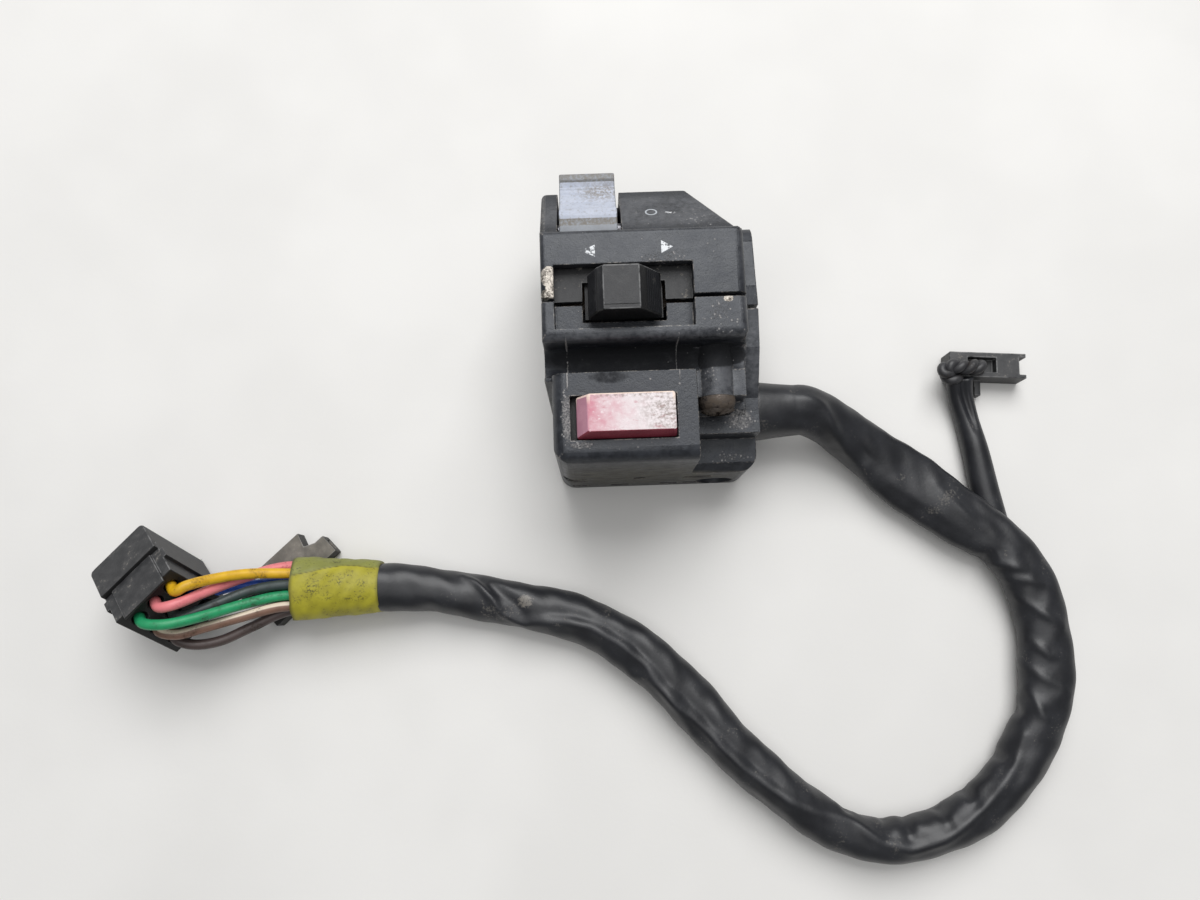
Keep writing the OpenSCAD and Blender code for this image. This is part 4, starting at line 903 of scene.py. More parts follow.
def smooth_route(points: Sequence[Triple], step: float) -> np.ndarray:
    """An even row of points on a smooth curve through the given ones.

    Args:
        points: The route, in mm.
        step: Distance between rows in mm.

    Returns:
        The points, in mm.
    """
    p = np.array(points, dtype=float)
    p = np.vstack([2 * p[0] - p[1], p, 2 * p[-1] - p[-2]])
    rows: list[np.ndarray] = []
    for a, b, c, d in zip(p[:-3], p[1:-2], p[2:-1], p[3:]):
        t0, t1 = 0.0, np.linalg.norm(b - a) ** 0.5
        t2 = t1 + np.linalg.norm(c - b) ** 0.5
        t3 = t2 + np.linalg.norm(d - c) ** 0.5
        for t in np.linspace(t1, t2, 24, endpoint=False):
            def blend(first: np.ndarray, second: np.ndarray, start: float, end: float) -> np.ndarray:
                """The point that runs from the first to the second as t runs from start to end."""
                return (end - t) / (end - start) * first + (t - start) / (end - start) * second
            a1, a2, a3 = blend(a, b, t0, t1), blend(b, c, t1, t2), blend(c, d, t2, t3)
            rows.append(blend(blend(a1, a2, t0, t2), blend(a2, a3, t1, t3), t1, t2))
    rows.append(p[-2])
    line = np.array(rows)
    far = distances(line)
    even = np.linspace(0.0, far[-1], max(2, int(round(far[-1] / step)) + 1))
    return np.stack([np.interp(even, far, line[:, k]) for k in range(3)], axis=1)


def frames(line: np.ndarray) -> tuple[np.ndarray, np.ndarray, np.ndarray]:
    """Directions along a row of points.

    Args:
        line: The points, in mm.

    Returns:
        The tangent, the side direction and the upward direction at each point, which turn smoothly.
    """
    along = np.gradient(line, axis=0)
    along /= np.linalg.norm(along, axis=1)[:, None]
    side = np.cross(along, (0, 0, 1.0))
    weak = np.linalg.norm(side, axis=1) < 0.35
    side[weak] = 0.0
    for i in range(1, len(side)):
        if weak[i]:
            side[i] = side[i - 1] - np.dot(side[i - 1], along[i]) * along[i]
    side /= np.maximum(np.linalg.norm(side, axis=1), 1e-9)[:, None]
    return along, side, np.cross(side, along)


def spokes(side: np.ndarray, up: np.ndarray, turn: np.ndarray) -> np.ndarray:
    """Directions round each point of a row, at the given angles in radians."""
    return side[:, None] * np.cos(turn)[None, :, None] + up[:, None] * np.sin(turn)[None, :, None]


def skin(name: str, rings: np.ndarray) -> bpy.types.Object:
    """A closed tube over rows of rings, with a UV map that follows it.

    Args:
        name: The piece's name.
        rings: Points by ring and place round it, in mm.

    Returns:
        The tube, smooth and closed at its ends.
    """
    count, sides = rings.shape[:2]
    points = rings.reshape(-1, 3) * MM
    faces: list[tuple[int, ...]] = []
    uvs: list[Pair] = []
    for i in range(count - 1):
        for j in range(sides):
            k = (j + 1) % sides
            faces.append((i * sides + j, i * sides + k, (i + 1) * sides + k, (i + 1) * sides + j))
            low, high = j / sides, (j + 1) / sides
            uvs += [(i / count, low), (i / count, high), ((i + 1) / count, high), ((i + 1) / count, low)]
    middle = np.stack([rings[0].mean(axis=0), rings[-1].mean(axis=0)]) * MM
    base = len(points)
    for j in range(sides):
        k = (j + 1) % sides
        faces.append((base, k, j))
        faces.append((base + 1, (count - 1) * sides + j, (count - 1) * sides + k))
        uvs += [(0, 0.5)] * 3 + [(1, 0.5)] * 3
    mesh = bpy.data.meshes.new(name)
    mesh.from_pydata(np.vstack([points, middle]).tolist(), [], faces)
    layer = mesh.uv_layers.new(name="UVMap")
    layer.data.foreach_set("uv", np.array(uvs, dtype=np.float32).ravel())
    mesh.polygons.foreach_set("use_smooth", [True] * len(mesh.polygons))
    obj = Bench.link(name, mesh)
    Bench.outward(obj)
    return obj


def round_tube(name: str, points: Sequence[Triple], radius: float, sides: int = 20,
               step: float = 0.6) -> bpy.types.Object:
    """A round tube with eased ends along a route.

    Args:
        name: The piece's name.
        points: The route, in mm.
        radius: Radius in mm.
        sides: Points round it.
        step: Distance between rings in mm.

    Returns:
        The tube.
    """
    line = smooth_route(points, step)
    _, side, up = frames(line)
    turn = np.linspace(0, 2 * np.pi, sides, endpoint=False)
    eased = 0.86
    size = np.full(len(line), radius)
    size[[0, -1]] *= eased
    return skin(name, line[:, None] + spokes(side, up, turn) * size[:, None, None])


@dataclass(frozen=True)
class Fold:
    """A crease on a sleeve: points (mm along it, degrees round it), its height and its width in mm."""

    points: tuple[Pair, ...]
    height: float
    width: float


LZ = -13.9  # height in mm of the loom's middle where it lies on the table
LOOM_ROUTE: tuple[Triple, ...] = (
    (24.3, -20, -6), (30.4, -20, -6), (35.1, -20, -6), (37.5, -20, -6), (42, -21.4, -7.6), (47.5, -24.4, -10),
    (54, -29, -12.5), (64, -37, LZ),
    (75.5, -46, LZ), (84, -52, LZ), (90, -58, LZ), (94, -66, LZ), (95.8, -75, LZ), (95.8, -84, LZ), (94, -94, LZ),
    (90, -103, LZ), (82.5, -113, LZ), (73, -120, LZ), (62, -124.2, LZ), (52, -125, LZ), (43.5, -123, LZ),
    (35.5, -118.5, LZ), (27, -112, LZ), (17.5, -103, LZ), (8, -92, LZ), (-0.5, -83, LZ), (-9.5, -75.5, LZ),
    (-20, -70, LZ), (-32, -66.4, LZ), (-45, -63.6, LZ), (-57, -61.4, -12.6), (-68, -60.2, -10.8), (-76, -60.1, -9.5))
LOOM_HALF_WIDTH: tuple[Pair, ...] = (
    (0, 7.35), (5, 6.75), (10, 6.3), (14, 6.3), (27, 6.1), (41, 6.9), (57, 7.0), (72, 6.5), (85, 6.3), (104, 6.6),
    (119, 6.4), (133, 6.2), (147, 5.9), (160, 5.4), (171, 5.1), (184, 5.2), (200, 5.5), (216, 5.9), (231, 6.2),
    (246, 6.1), (262, 5.9), (279, 5.6), (291, 5.5), (302, 5.5), (313, 5.85), (322, 5.8))
LOOM_HALF_HEIGHT: tuple[Pair, ...] = (
    (0, 7.35), (5, 6.6), (10, 5.9), (16, 5.4), (27, 5.2), (41, 4.6), (60, 4.5), (104, 4.8), (147, 5.3), (171, 5.5),
    (200, 5.4), (231, 5.0), (279, 5.3), (302, 5.4), (313, 5.85), (322, 5.6))
LOOM_FOLDS: tuple[Fold, ...] = (
    Fold(((9, 112), (14, 100), (19, 68), (27, 41), (34, 34)), 0.85, 1.5),
    Fold(((3, 76), (9, 60), (15, 43), (23, 22)), -0.8, 2.0),
    Fold(((22, 90), (30, 66), (40, 52)), -0.5, 2.0),
    Fold(((36, 8), (48, 2), (64, 6)), 0.9, 2.4),
    Fold(((37, 30), (50, 26), (66, 34)), -0.45, 1.6),
    Fold(((30, 172), (48, 168), (64, 170)), 0.9, 2.6),
    Fold(((72, -20), (73, 20), (74, 50)), -1.0, 1.8),
    Fold(((75, 20), (80, 60), (83, 92)), 0.5, 1.2),
    Fold(((82, 25), (85, 78), (88, 112)), 0.5, 1.2),
    Fold(((88, 24), (93, 67), (95, 95), (97, 122)), 0.6, 1.3),
    Fold(((100, 26), (104, 75), (104, 108)), 0.6, 1.3),
    Fold(((106, -6), (110, 67), (111, 105), (113, 132)), 0.6, 1.4),
    Fold(((113, 22), (119, 71), (120, 100)), 0.55, 1.3),
    Fold(((119, -30), (121, 30)), -0.9, 1.6),
    Fold(((133, -30), (134, 40)), -1.0, 1.6),
    Fold(((147, -25), (148, 55)), -1.0, 1.6),
    Fold(((156, -20), (157, 70)), -0.8, 1.5),
    Fold(((166, -15), (167, 72)), -1.0, 1.5),
    Fold(((172, -15), (173, 70)), -0.8, 1.4),
    Fold(((184, -10), (184, 40)), -0.8, 1.6),
    Fold(((126, 46), (135, 61), (148, 78), (159, 96), (167, 102), (175, 78), (182, 53), (187, 30)), 0.8, 1.4),
    Fold(((245, 152), (242, 127), (232, 118), (213, 108), (198, 96), (190, 76), (184, 56)), 0.75, 1.5),
    Fold(((244, 130), (234, 98), (216, 88), (200, 74)), -0.5, 2.0),
    Fold(((281, 146), (269, 110), (261, 96), (246, 103), (231, 128), (224, 152)), 0.8, 1.5),
    Fold(((278, 118), (266, 84), (250, 82), (238, 100)), -0.45, 1.8),
    Fold(((295, 34), (291, 51), (286, 89), (283, 125), (277, 140)), 0.9, 1.0),
    Fold(((289, 40), (281, 86), (278, 116)), -1.0, 1.6),
    Fold(((300, 120), (302, 165)), -0.5, 2.4),
    Fold(((52, 120), (60, 96), (70, 80)), 0.45, 1.8),
    Fold(((60, 140), (70, 118), (78, 104)), -0.4, 1.8),
    Fold(((122, 150), (138, 142), (156, 150)), -0.5, 2.4),
    Fold(((196, 150), (206, 158), (218, 160)), -0.5, 2.2))


@dataclass
class Loom:
    """The black sleeve from the housing to the tape: a flattened, creased tube."""

    sides: int = 84
    step: float = 0.62
    table: float = -19.45
    lead_in: float = 1.4
    square: float = 2.2  # exponent of the flattened outline
    least: float = 4.05  # smallest radius in mm
    press: float = 0.12  # how softly it meets the table, in mm
    diameter: float = 0.0112  # of the cord, in metres

    def line(self) -> np.ndarray:
        """The middle of the sleeve."""
        return smooth_route(LOOM_ROUTE, self.step)

    def creases(self, far: np.ndarray, turn: np.ndarray) -> np.ndarray:
        """Height of the creases over the sleeve.

        Args:
            far: Distance along the sleeve of each ring, in mm.
            turn: Angle of each place round it, in degrees.

        Returns:
            Heights in mm, by ring and place.
        """
        arc = 0.1
        s, q = np.meshgrid(far, turn, indexing="ij")
        total = np.zeros_like(s)
        for fold in LOOM_FOLDS:
            near = np.full_like(s, 1e9)
            fade = np.ones_like(s)
            for part, ((s0, q0), (s1, q1)) in enumerate(zip(fold.points, fold.points[1:])):
                ds, dq = s1 - s0, (q1 - q0) * arc
                for wrap in (-360.0, 0.0, 360.0):
                    a, b = s - s0, (q + wrap - q0) * arc
                    t = np.clip((a * ds + b * dq) / (ds * ds + dq * dq), 0, 1)
                    gap = np.hypot(a - t * ds, b - t * dq)
                    closer = gap < near
                    near = np.where(closer, gap, near)
                    reach = (part + t) / (len(fold.points) - 1)
                    fade = np.where(closer, np.sin(np.pi * np.clip(reach, 0.06, 0.94)) ** 0.5, fade)
            total += fold.height * fade * np.exp(-((near / fold.width) ** 2))
        return total

    def build(self) -> tuple[bpy.types.Object, np.ndarray]:
        """Makes the sleeve.

        Returns:
            The piece and the points that it follows, in metres.
        """
        line = self.line()
        far = distances(line) - self.lead_in
        _, side, up = frames(line)
        turn = np.linspace(0, 360, self.sides, endpoint=False)
        q = np.radians(turn)
        wide = np.interp(far, *zip(*LOOM_HALF_WIDTH))[:, None]
        tall = np.interp(far, *zip(*LOOM_HALF_HEIGHT))[:, None]
        power = self.square
        flat, upright = np.abs(np.cos(q))[None] / wide, np.abs(np.sin(q))[None] / tall
        radius = 1.0 / (flat ** power + upright ** power) ** (1 / power)
        s = far[:, None]
        ease = np.clip((s - 9) / 12, 0, 1)
        radius = radius + ease * (0.16 * np.sin(0.31 * s + 2 * q) + 0.12 * np.sin(0.19 * s - 3 * q + 1.0)
                                  + 0.07 * np.sin(0.83 * s + 4 * q + 0.4))
        radius = radius + np.clip((s - 4) / 8, 0, 1) * self.creases(far, turn)
        radius = np.maximum(radius, self.least)
        rings = line[:, None] + spokes(side, up, q) * radius[:, :, None]
        low = self.table + self.press * np.log1p(np.exp((rings[..., 2] - self.table) / self.press))
        rings[..., 2] = np.where(rings[..., 2] < self.table + 2, low, rings[..., 2])
        return skin("loom_sleeve_skin", rings), line * MM


@dataclass
class Tape:
    """The wrapped tape at the loom's end: two layers with a visible seam, torn a little at its left edge."""

    rings: tuple[tuple[float, float, float, float, float], ...] = (
        (-68.6, -60.15, -10.7, 6.2, 6.3), (-77.5, -60.1, -9.3, 7.0, 6.4), (-89.4, -60.1, -7.8, 7.7, 5.05))
    flecks: tuple[tuple[float, float, float, float], ...] = (
        (-84.0, 92, 1.9, 13), (-77.4, 78, 0.9, 9), (-75.6, 62, 0.7, 8), (-72.2, 84, 1.2, 8), (-80.5, 108, 1.4, 6),
        (-87.6, 112, 0.9, 7), (-74.0, 116, 2.6, 5), (-79.0, 30, 1.6, 6))
    span: Pair = (-89.4, -68.6)
    seam: tuple[Pair, ...] = ((-89.4, 66), (-86.5, 62), (-79.5, 46), (-77, 43), (-72, 42), (-68.6, 44))
    thickness: float = 0.5
    sides: int = 144
    rows: int = 72

    def build(self) -> bpy.types.Object:
        """Makes the wrap as a double-walled sleeve.

        Returns:
            The piece, with its layer, seam, rim, grime and flecks attributes.
        """
        table = np.array(self.rings)[::-1]
        x = np.linspace(*self.span, self.rows)
        y, z, wide, tall = (np.interp(x, table[:, 0], table[:, k]) for k in range(1, 5))
        q = np.linspace(0, 2 * np.pi, self.sides, endpoint=False)
        seam = np.interp(x, *zip(*self.seam))
        degrees = np.degrees(q)[None]
        above = 1 / (1 + np.exp((degrees - seam[:, None]) / 0.6))
        line = np.exp(-(((degrees - seam[:, None]) / 1.1) ** 2)) * (0.5 + 0.5 * np.sin(x * 2.3) ** 2)[:, None]
        left, right = self.span
        ends = np.exp(-(((x - left) / 0.55) ** 2)) + 0.7 * np.exp(-(((x - right) / 0.4) ** 2))
        line = np.maximum(line, ends[:, None])
        ripple = 0.07 * np.sin(x * 0.9 + 3)[:, None] * np.sin(5 * q + 1)[None]
        ripple = ripple + 0.05 * np.sin(1.7 * x[:, None] + 9 * q[None])
        ripple = ripple + 0.10 * np.sin(2 * q[None] + 0.5 * x[:, None])
        outer = 0.14 * above - 0.10 * line + ripple
        end = 0.10 * np.sin(3 * q) + 0.08 * np.sin(7 * q + 1) - 0.5 * np.clip(-np.cos(q) - 0.4, 0, 1)

        def wall(out: np.ndarray) -> np.ndarray:
            """Points of one wall, set out from the middle ring by a distance."""
            cos, sin = np.cos(q)[None], np.sin(q)[None]
            points = np.stack([np.repeat(x[:, None], self.sides, 1), y[:, None] + (wide[:, None] + out) * cos,
                               z[:, None] + (tall[:, None] + out) * sin], axis=2)
            points[:3, :, 0] += end * np.array([1.0, 0.6, 0.2])[:, None]
            return points
        inner = wall(np.full((self.rows, self.sides), -self.thickness))[::-1]
        loop = np.vstack([wall(outer), inner])
        mesh = bpy.data.meshes.new("loom_tape_wrap")
        count = len(loop)
        faces = [(i * self.sides + j, i * self.sides + (j + 1) % self.sides,
                  ((i + 1) % count) * self.sides + (j + 1) % self.sides, ((i + 1) % count) * self.sides + j)
                 for i in range(count) for j in range(self.sides)]
        mesh.from_pydata((loop.reshape(-1, 3) * MM).tolist(), [], faces)
        blank = np.zeros_like(above)
        rim = np.zeros((count, self.sides))
        rim[self.rows:] = 1.0
        low = np.clip(-np.sin(q) + 0.35, 0, 1)[None] * np.ones((self.rows, 1))
        dots = sum(np.exp(-(((x[:, None] - at) / half) ** 2) - ((degrees - angle) / wide_half) ** 2)
                   for at, angle, half, wide_half in self.flecks)
        shown = {"layer": np.vstack([above, blank]), "seam": np.vstack([line, blank]), "rim": rim,
                 "grime": np.vstack([low, blank]), "flecks": np.vstack([np.minimum(dots * 1.3, 1), blank])}
        for name, values in shown.items():
            mesh.attributes.new(name, "FLOAT", "POINT").data.foreach_set("value", values.astype(np.float32).ravel())
        obj = Bench.link("loom_tape_wrap", mesh)
        Bench.outward(obj)
        Bench.smooth(obj)
        return obj


@dataclass(frozen=True)
class WireRun:
    """One insulated wire: its CAD node, route in mm, coat, material slot and radius."""

    node: str
    route: tuple[Triple, ...]
    coat: WireCoat
    slot: str
    radius: float = 1.25


WIRES: tuple[WireRun, ...] = (
    WireRun("wire_yellow", ((-82, -56.8, -5.9), (-92, -56.3, -5.4), (-100, -56.3, -2.4), (-107, -57.6, 2),
                            (-111, -59, 5), (-113.4, -60.1, 4.9), (-115.3, -58.1, 3)),
            WireCoat("yellow_wire", srgb(0.86, 0.68, 0.10), srgb(0.72, 0.54, 0.06)), "wire_yellow"),
    WireRun("wire_pink", ((-82, -55.2, -8.2), (-92, -54.6, -7.6), (-101, -57, -5), (-108, -60.4, 1),
                          (-113.5, -63.2, 5.2), (-117, -63.6, 4.9), (-118.9, -61.65, 3)),
            WireCoat("pink_wire", srgb(0.88, 0.50, 0.52), srgb(0.76, 0.40, 0.42)), "wire_pink"),
    WireRun("wire_blue", ((-82, -58.7, -10.4), (-92, -58.2, -9.9), (-97, -58.5, -8.6), (-101, -58.8, -7.6),
                          (-105, -59.1, -7.3), (-109.5, -60.4, -5.0), (-112, -61.0, -2.8), (-113.2, -60.3, -1.5)),
            WireCoat("blue_wire", srgb(0.15, 0.36, 0.76), srgb(0.11, 0.27, 0.62)), "wire_blue"),
    WireRun("wire_black", ((-82, -59.5, -6), (-92, -59.1, -5.5), (-100, -60.4, -4.6), (-107, -63.4, -1.8),
                           (-114.8, -65.8, 0.4), (-116.7, -63.8, -1.5)),
            WireCoat("black_wire", srgb(0.22, 0.265, 0.265), srgb(0.17, 0.20, 0.20)), "wire_black"),
    WireRun("wire_green", ((-82, -62.1, -6.2), (-92, -61.7, -5.7), (-101, -63.6, -3.2), (-109, -66.2, 1.8),
                           (-115.5, -67.6, 5), (-120.5, -67.1, 4.9), (-122.4, -65.2, 3)),
            WireCoat("green_wire", srgb(0.14, 0.60, 0.39), srgb(0.09, 0.47, 0.30)), "wire_green"),
    WireRun("wire_brown_white", ((-82, -64.6, -6.8), (-92, -64.3, -5.9), (-101, -66.4, -4.4), (-109, -68.6, -2),
                                 (-114.5, -70, 0), (-118.4, -69.3, 0.4), (-120.3, -67.3, -1.5)),
            WireCoat("brown_wire", srgb(0.50, 0.38, 0.32), srgb(0.40, 0.29, 0.23), srgb(0.86, 0.80, 0.72)),
            "wire_brown"),
    WireRun("wire_dark_brown", ((-82, -64.4, -9.5), (-92, -65.6, -8.4), (-100, -69, -7.6), (-107, -72, -6.2),
                                (-112.5, -72.6, -4.8), (-116.3, -71.4, -4.1), (-118.2, -69.5, -5.9)),
            WireCoat("dark_brown_wire", srgb(0.30, 0.25, 0.24), srgb(0.23, 0.19, 0.18)), "wire_dark_brown"),
    WireRun("second_lead", ((-98.8, -59.6, -16), (-102.2, -61.8, -15.4), (-103.4, -62.4, -13), (-100, -61.6, -10.6),
                            (-92, -61, -9.2), (-86.5, -61.2, -9.8)),
            WireCoat("plain_black_lead", srgb(0.15, 0.15, 0.16), srgb(0.11, 0.11, 0.12)), "black_plastic", 1.1))


@dataclass
class MainPlug:
    """The nine-way plug: a box with a raised round-cornered plate, ribs along its sides and wire cells."""

    at: Triple = (-121.5, -59.0, -6.1)
    turn: Triple = (0.0, -34.4, -45.4)
    size: Triple = (19.4, 16.8, 18.8)
    plate_end: float = -2.6
    plate_up: float = 1.4
    corner: float = 1.4
    groove: Pair = (1.0, 0.8)
    flap: Pair = (1.2, 0.55)
    overhang: float = 3.2
    rib: Pair = (1.2, 4.4)
    rib_out: float = 0.8
    edge: float = 0.2
    mouth_painted_shade: float = 1.35
    side_painted_shade: float = 0.7

    def local(self, point: Vector) -> Vector:
        """A point of the scene in the plug's own frame, in mm."""
        return self.frame().inverted() @ (point / MM)

    def frame(self) -> Matrix:
        """The plug's own frame in the scene, in mm."""
        angles = Euler([math.radians(value) for value in self.turn], "XYZ")
        return Matrix.Translation(self.at) @ angles.to_matrix().to_4x4()

    def build(self) -> bpy.types.Object:
        """Makes the plug.

        Returns:
            The piece, not yet dressed.
        """
        block = Bench.copy_of("main_connector", "main_connector_block")
        turn = self.frame().to_3x3()
        length, width, height = self.size

        def raised(middle: Vector, normal: Vector) -> bool:
            """Whether a face is the plain half of the top."""
            p = self.local(middle)
            return normal.dot(turn.col[2]) > 0.99 and abs(p.z - height / 2) < TOLERANCE and p.x < self.plate_end
        Bench.pick(block, raised)
        Bench.extrude(turn.col[2] * self.plate_up * MM)
        for level, lift in ((-self.groove[0], self.groove[1]), (self.flap[0], self.flap[1] - self.flap[0])):
            Bench.pick(block, lambda m, n: n.dot(turn.col[2]) > 0.99 and self.local(m).x > self.plate_end
                       and abs(self.local(m).z - height / 2 - level) < TOLERANCE)
            Bench.shift(turn.col[2] * lift * MM)
        Bench.pick(block, lambda m, n: n.dot(turn.col[0]) > 0.99 and self.local(m).z > height / 2)
        Bench.extrude(turn.col[0] * self.overhang * MM)
        for place in self.rib:
            Bench.edit(block, "SELECT")
            Bench.score(self.frame() @ Vector((place, 0, 0)) * MM, turn.col[0])
        for side in Side:
            def strip(middle: Vector, normal: Vector) -> bool:
                """Whether a face lies on this side between the two scores."""
                p = self.local(middle)
                return normal.dot(turn.col[1]) * side.value > 0.99 and self.rib[0] < p.x < self.rib[1] \
                    and abs(abs(p.y) - width / 2) < TOLERANCE
            Bench.pick(block, strip)
            Bench.extrude(turn.col[1] * side.value * self.rib_out * MM)

        def corner(a: Vector, b: Vector) -> bool:
            """Whether an edge is an upright corner of the raised plate's end."""
            p, q = self.local(a * MM), self.local(b * MM)
            return all(max(abs(v.x + length / 2), abs(abs(v.y) - width / 2)) < TOLERANCE for v in (p, q)) \
                and max(p.z, q.z) > height / 2 - 0.1 and abs(p.y - q.y) < 0.1
        Bench.fillet(block, corner, self.corner, 5)
        Bench.round_edges(block, self.edge)

        def shade(_: Vector, normal: Vector) -> float:
            """How dark a face is: painted shade on the end with the wire cells and on one side."""
            return self.mouth_painted_shade * float(normal.dot(turn.col[0]) > 0.5) \
                + self.side_painted_shade * float(normal.dot(turn.col[1]) > 0.8)
        Bench.mark(block, "dark", shade)
        Bench.smooth(block)
        return block


@dataclass
class LoomEnd:
    """Tape, wires and plugs at the loom's far end."""

    latch: float = -62.0
    latch_painted_shade: float = 1.3
    edge: float = 0.2

    def build(self) -> list[bpy.types.Object]:
        """Makes the pieces.

        Returns:
            The tape, wires, plugs and terminals.
        """
        pieces = [place_piece(Tape().build(), TapeFilm().make(), Body.HOUSING, "tape", "loom_tape")]
        for run in WIRES:
            wire = round_tube(run.node + "_coat", run.route, run.radius)
            pieces.append(place_piece(wire, run.coat.make(), Body.HOUSING, run.slot, run.node))
        plug = PLUG_PLASTIC.make()
        brass = BRASS.make()
        pieces.append(place_piece(MainPlug().build(), plug, Body.HOUSING, "connector", "main_connector"))
        block = Bench.copy_of("second_connector", "second_connector_block")
        Bench.edit(block, "SELECT")
        Bench.score(mm(0, self.latch, 0), (0, 1, 0))
        Bench.round_edges(block, self.edge)
        # The end below the latch and the faces turned towards +X are painted near black: painted shade under the wires,
        # with some dirt.
        Bench.mark(block, "dark", lambda m, n: self.latch_painted_shade * float(m.y < self.latch * MM or n.x > 0.6))
        Bench.smooth(block)
        pieces.append(place_piece(block, GREY_PLUG.make(), Body.HOUSING, "second_connector", "second_connector"))
        for node in ("main_terminals", "second_terminals"):
            dress_node(node, brass)
            pieces.append(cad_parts[node])
        return pieces


@dataclass
class Branch:
    """The short side lead with its two-way plug."""

    radius: float = 3.25
    route: tuple[Triple, ...] = ((88, -52, -16.2), (85.8, -41, -16.2), (84.3, -30, -16.2), (82.8, -21.5, -16.2),
                                 (81.5, -15.6, -15.0), (80.9, -11.6, -12.9))
    fold: tuple[Triple, ...] = ((80.4, -12.6, -12.9), (78.2, -11.5, -12.1), (76.5, -9.9, -11.4), (77.8, -8.8, -11.1),
                                (81.0, -9.2, -11.0), (84.0, -9.1, -11.2), (85.9, -8.9, -12.0), (86.6, -8.8, -13.4))
    twist: Pair = (0.85, 5.6)  # radius and pitch in mm
    step: float = 0.5
    wire: float = 1.2
    edge: float = 0.25

    def strands(self) -> list[list[Triple]]:
        """Routes of the two wires, twisted round each other along the fold."""
        line = smooth_route(self.fold, self.step)
        _, side, up = frames(line)
        reach, pitch = self.twist
        turn = np.arange(len(line)) * self.step / pitch * 2 * np.pi
        return [(line + reach * (side * np.cos(turn + start)[:, None] + up * np.sin(turn + start)[:, None])).tolist()
                for start in (0.0, np.pi)]

    def sleeve(self, line: np.ndarray) -> bpy.types.Object:
        """The sleeve: round where it leaves the loom, pressed flat and pinched towards its end."""
        _, side, up = frames(line)
        reach = np.linspace(0, 1, len(line))[:, None]
        q = np.linspace(0, 2 * np.pi, 48, endpoint=False)[None]
        wide = self.radius * (1 + 0.10 * np.sin(5.5 * reach) + 0.16 * np.clip(reach - 0.72, 0, 1) / 0.28)
        tall = self.radius * (1 - 0.30 * np.clip(reach - 0.55, 0, 1) / 0.45)
        crease = 0.5 * np.exp(-(((np.degrees(q) - 62 - 30 * reach) / 16) ** 2)) * np.clip((reach - 0.6) / 0.2, 0, 1)
        out = side[:, None] * (wide * np.cos(q))[..., None] + up[:, None] * ((tall - crease * 2) * np.sin(q))[..., None]
        return skin("branch_sleeve_skin", line[:, None] + out)

    def build(self) -> None:
        line = smooth_route(self.route, self.step)
        sleeve = place_piece(self.sleeve(line), SleeveVinyl("branch_vinyl").make(), Body.HOUSING, "sleeve",
                             "branch_sleeve")
        coat = WireCoat("branch_wire_coat", srgb(0.20, 0.20, 0.21), srgb(0.13, 0.13, 0.14)).make()
        tails = [round_tube(f"branch_wire_{i}", points, self.wire, 16, 0.4) for i, points in enumerate(self.strands())]
        for tail in tails:
            place_piece(tail, coat, Body.HOUSING, "black_plastic", "branch_wires")
        block = Bench.copy_of("branch_connector", "branch_connector_block")
        Bench.round_edges(block, self.edge)
        Bench.smooth(block)
        place_piece(block, PLUG_PLASTIC.make(), Body.HOUSING, "connector", "branch_connector")
        dress_node("branch_terminals", BRASS.make())
        (line[0] * MM).tolist()
        2 * self.radius * MM
        (line * MM).tolist()


# ---------------------------------------------------------------- housing and switches


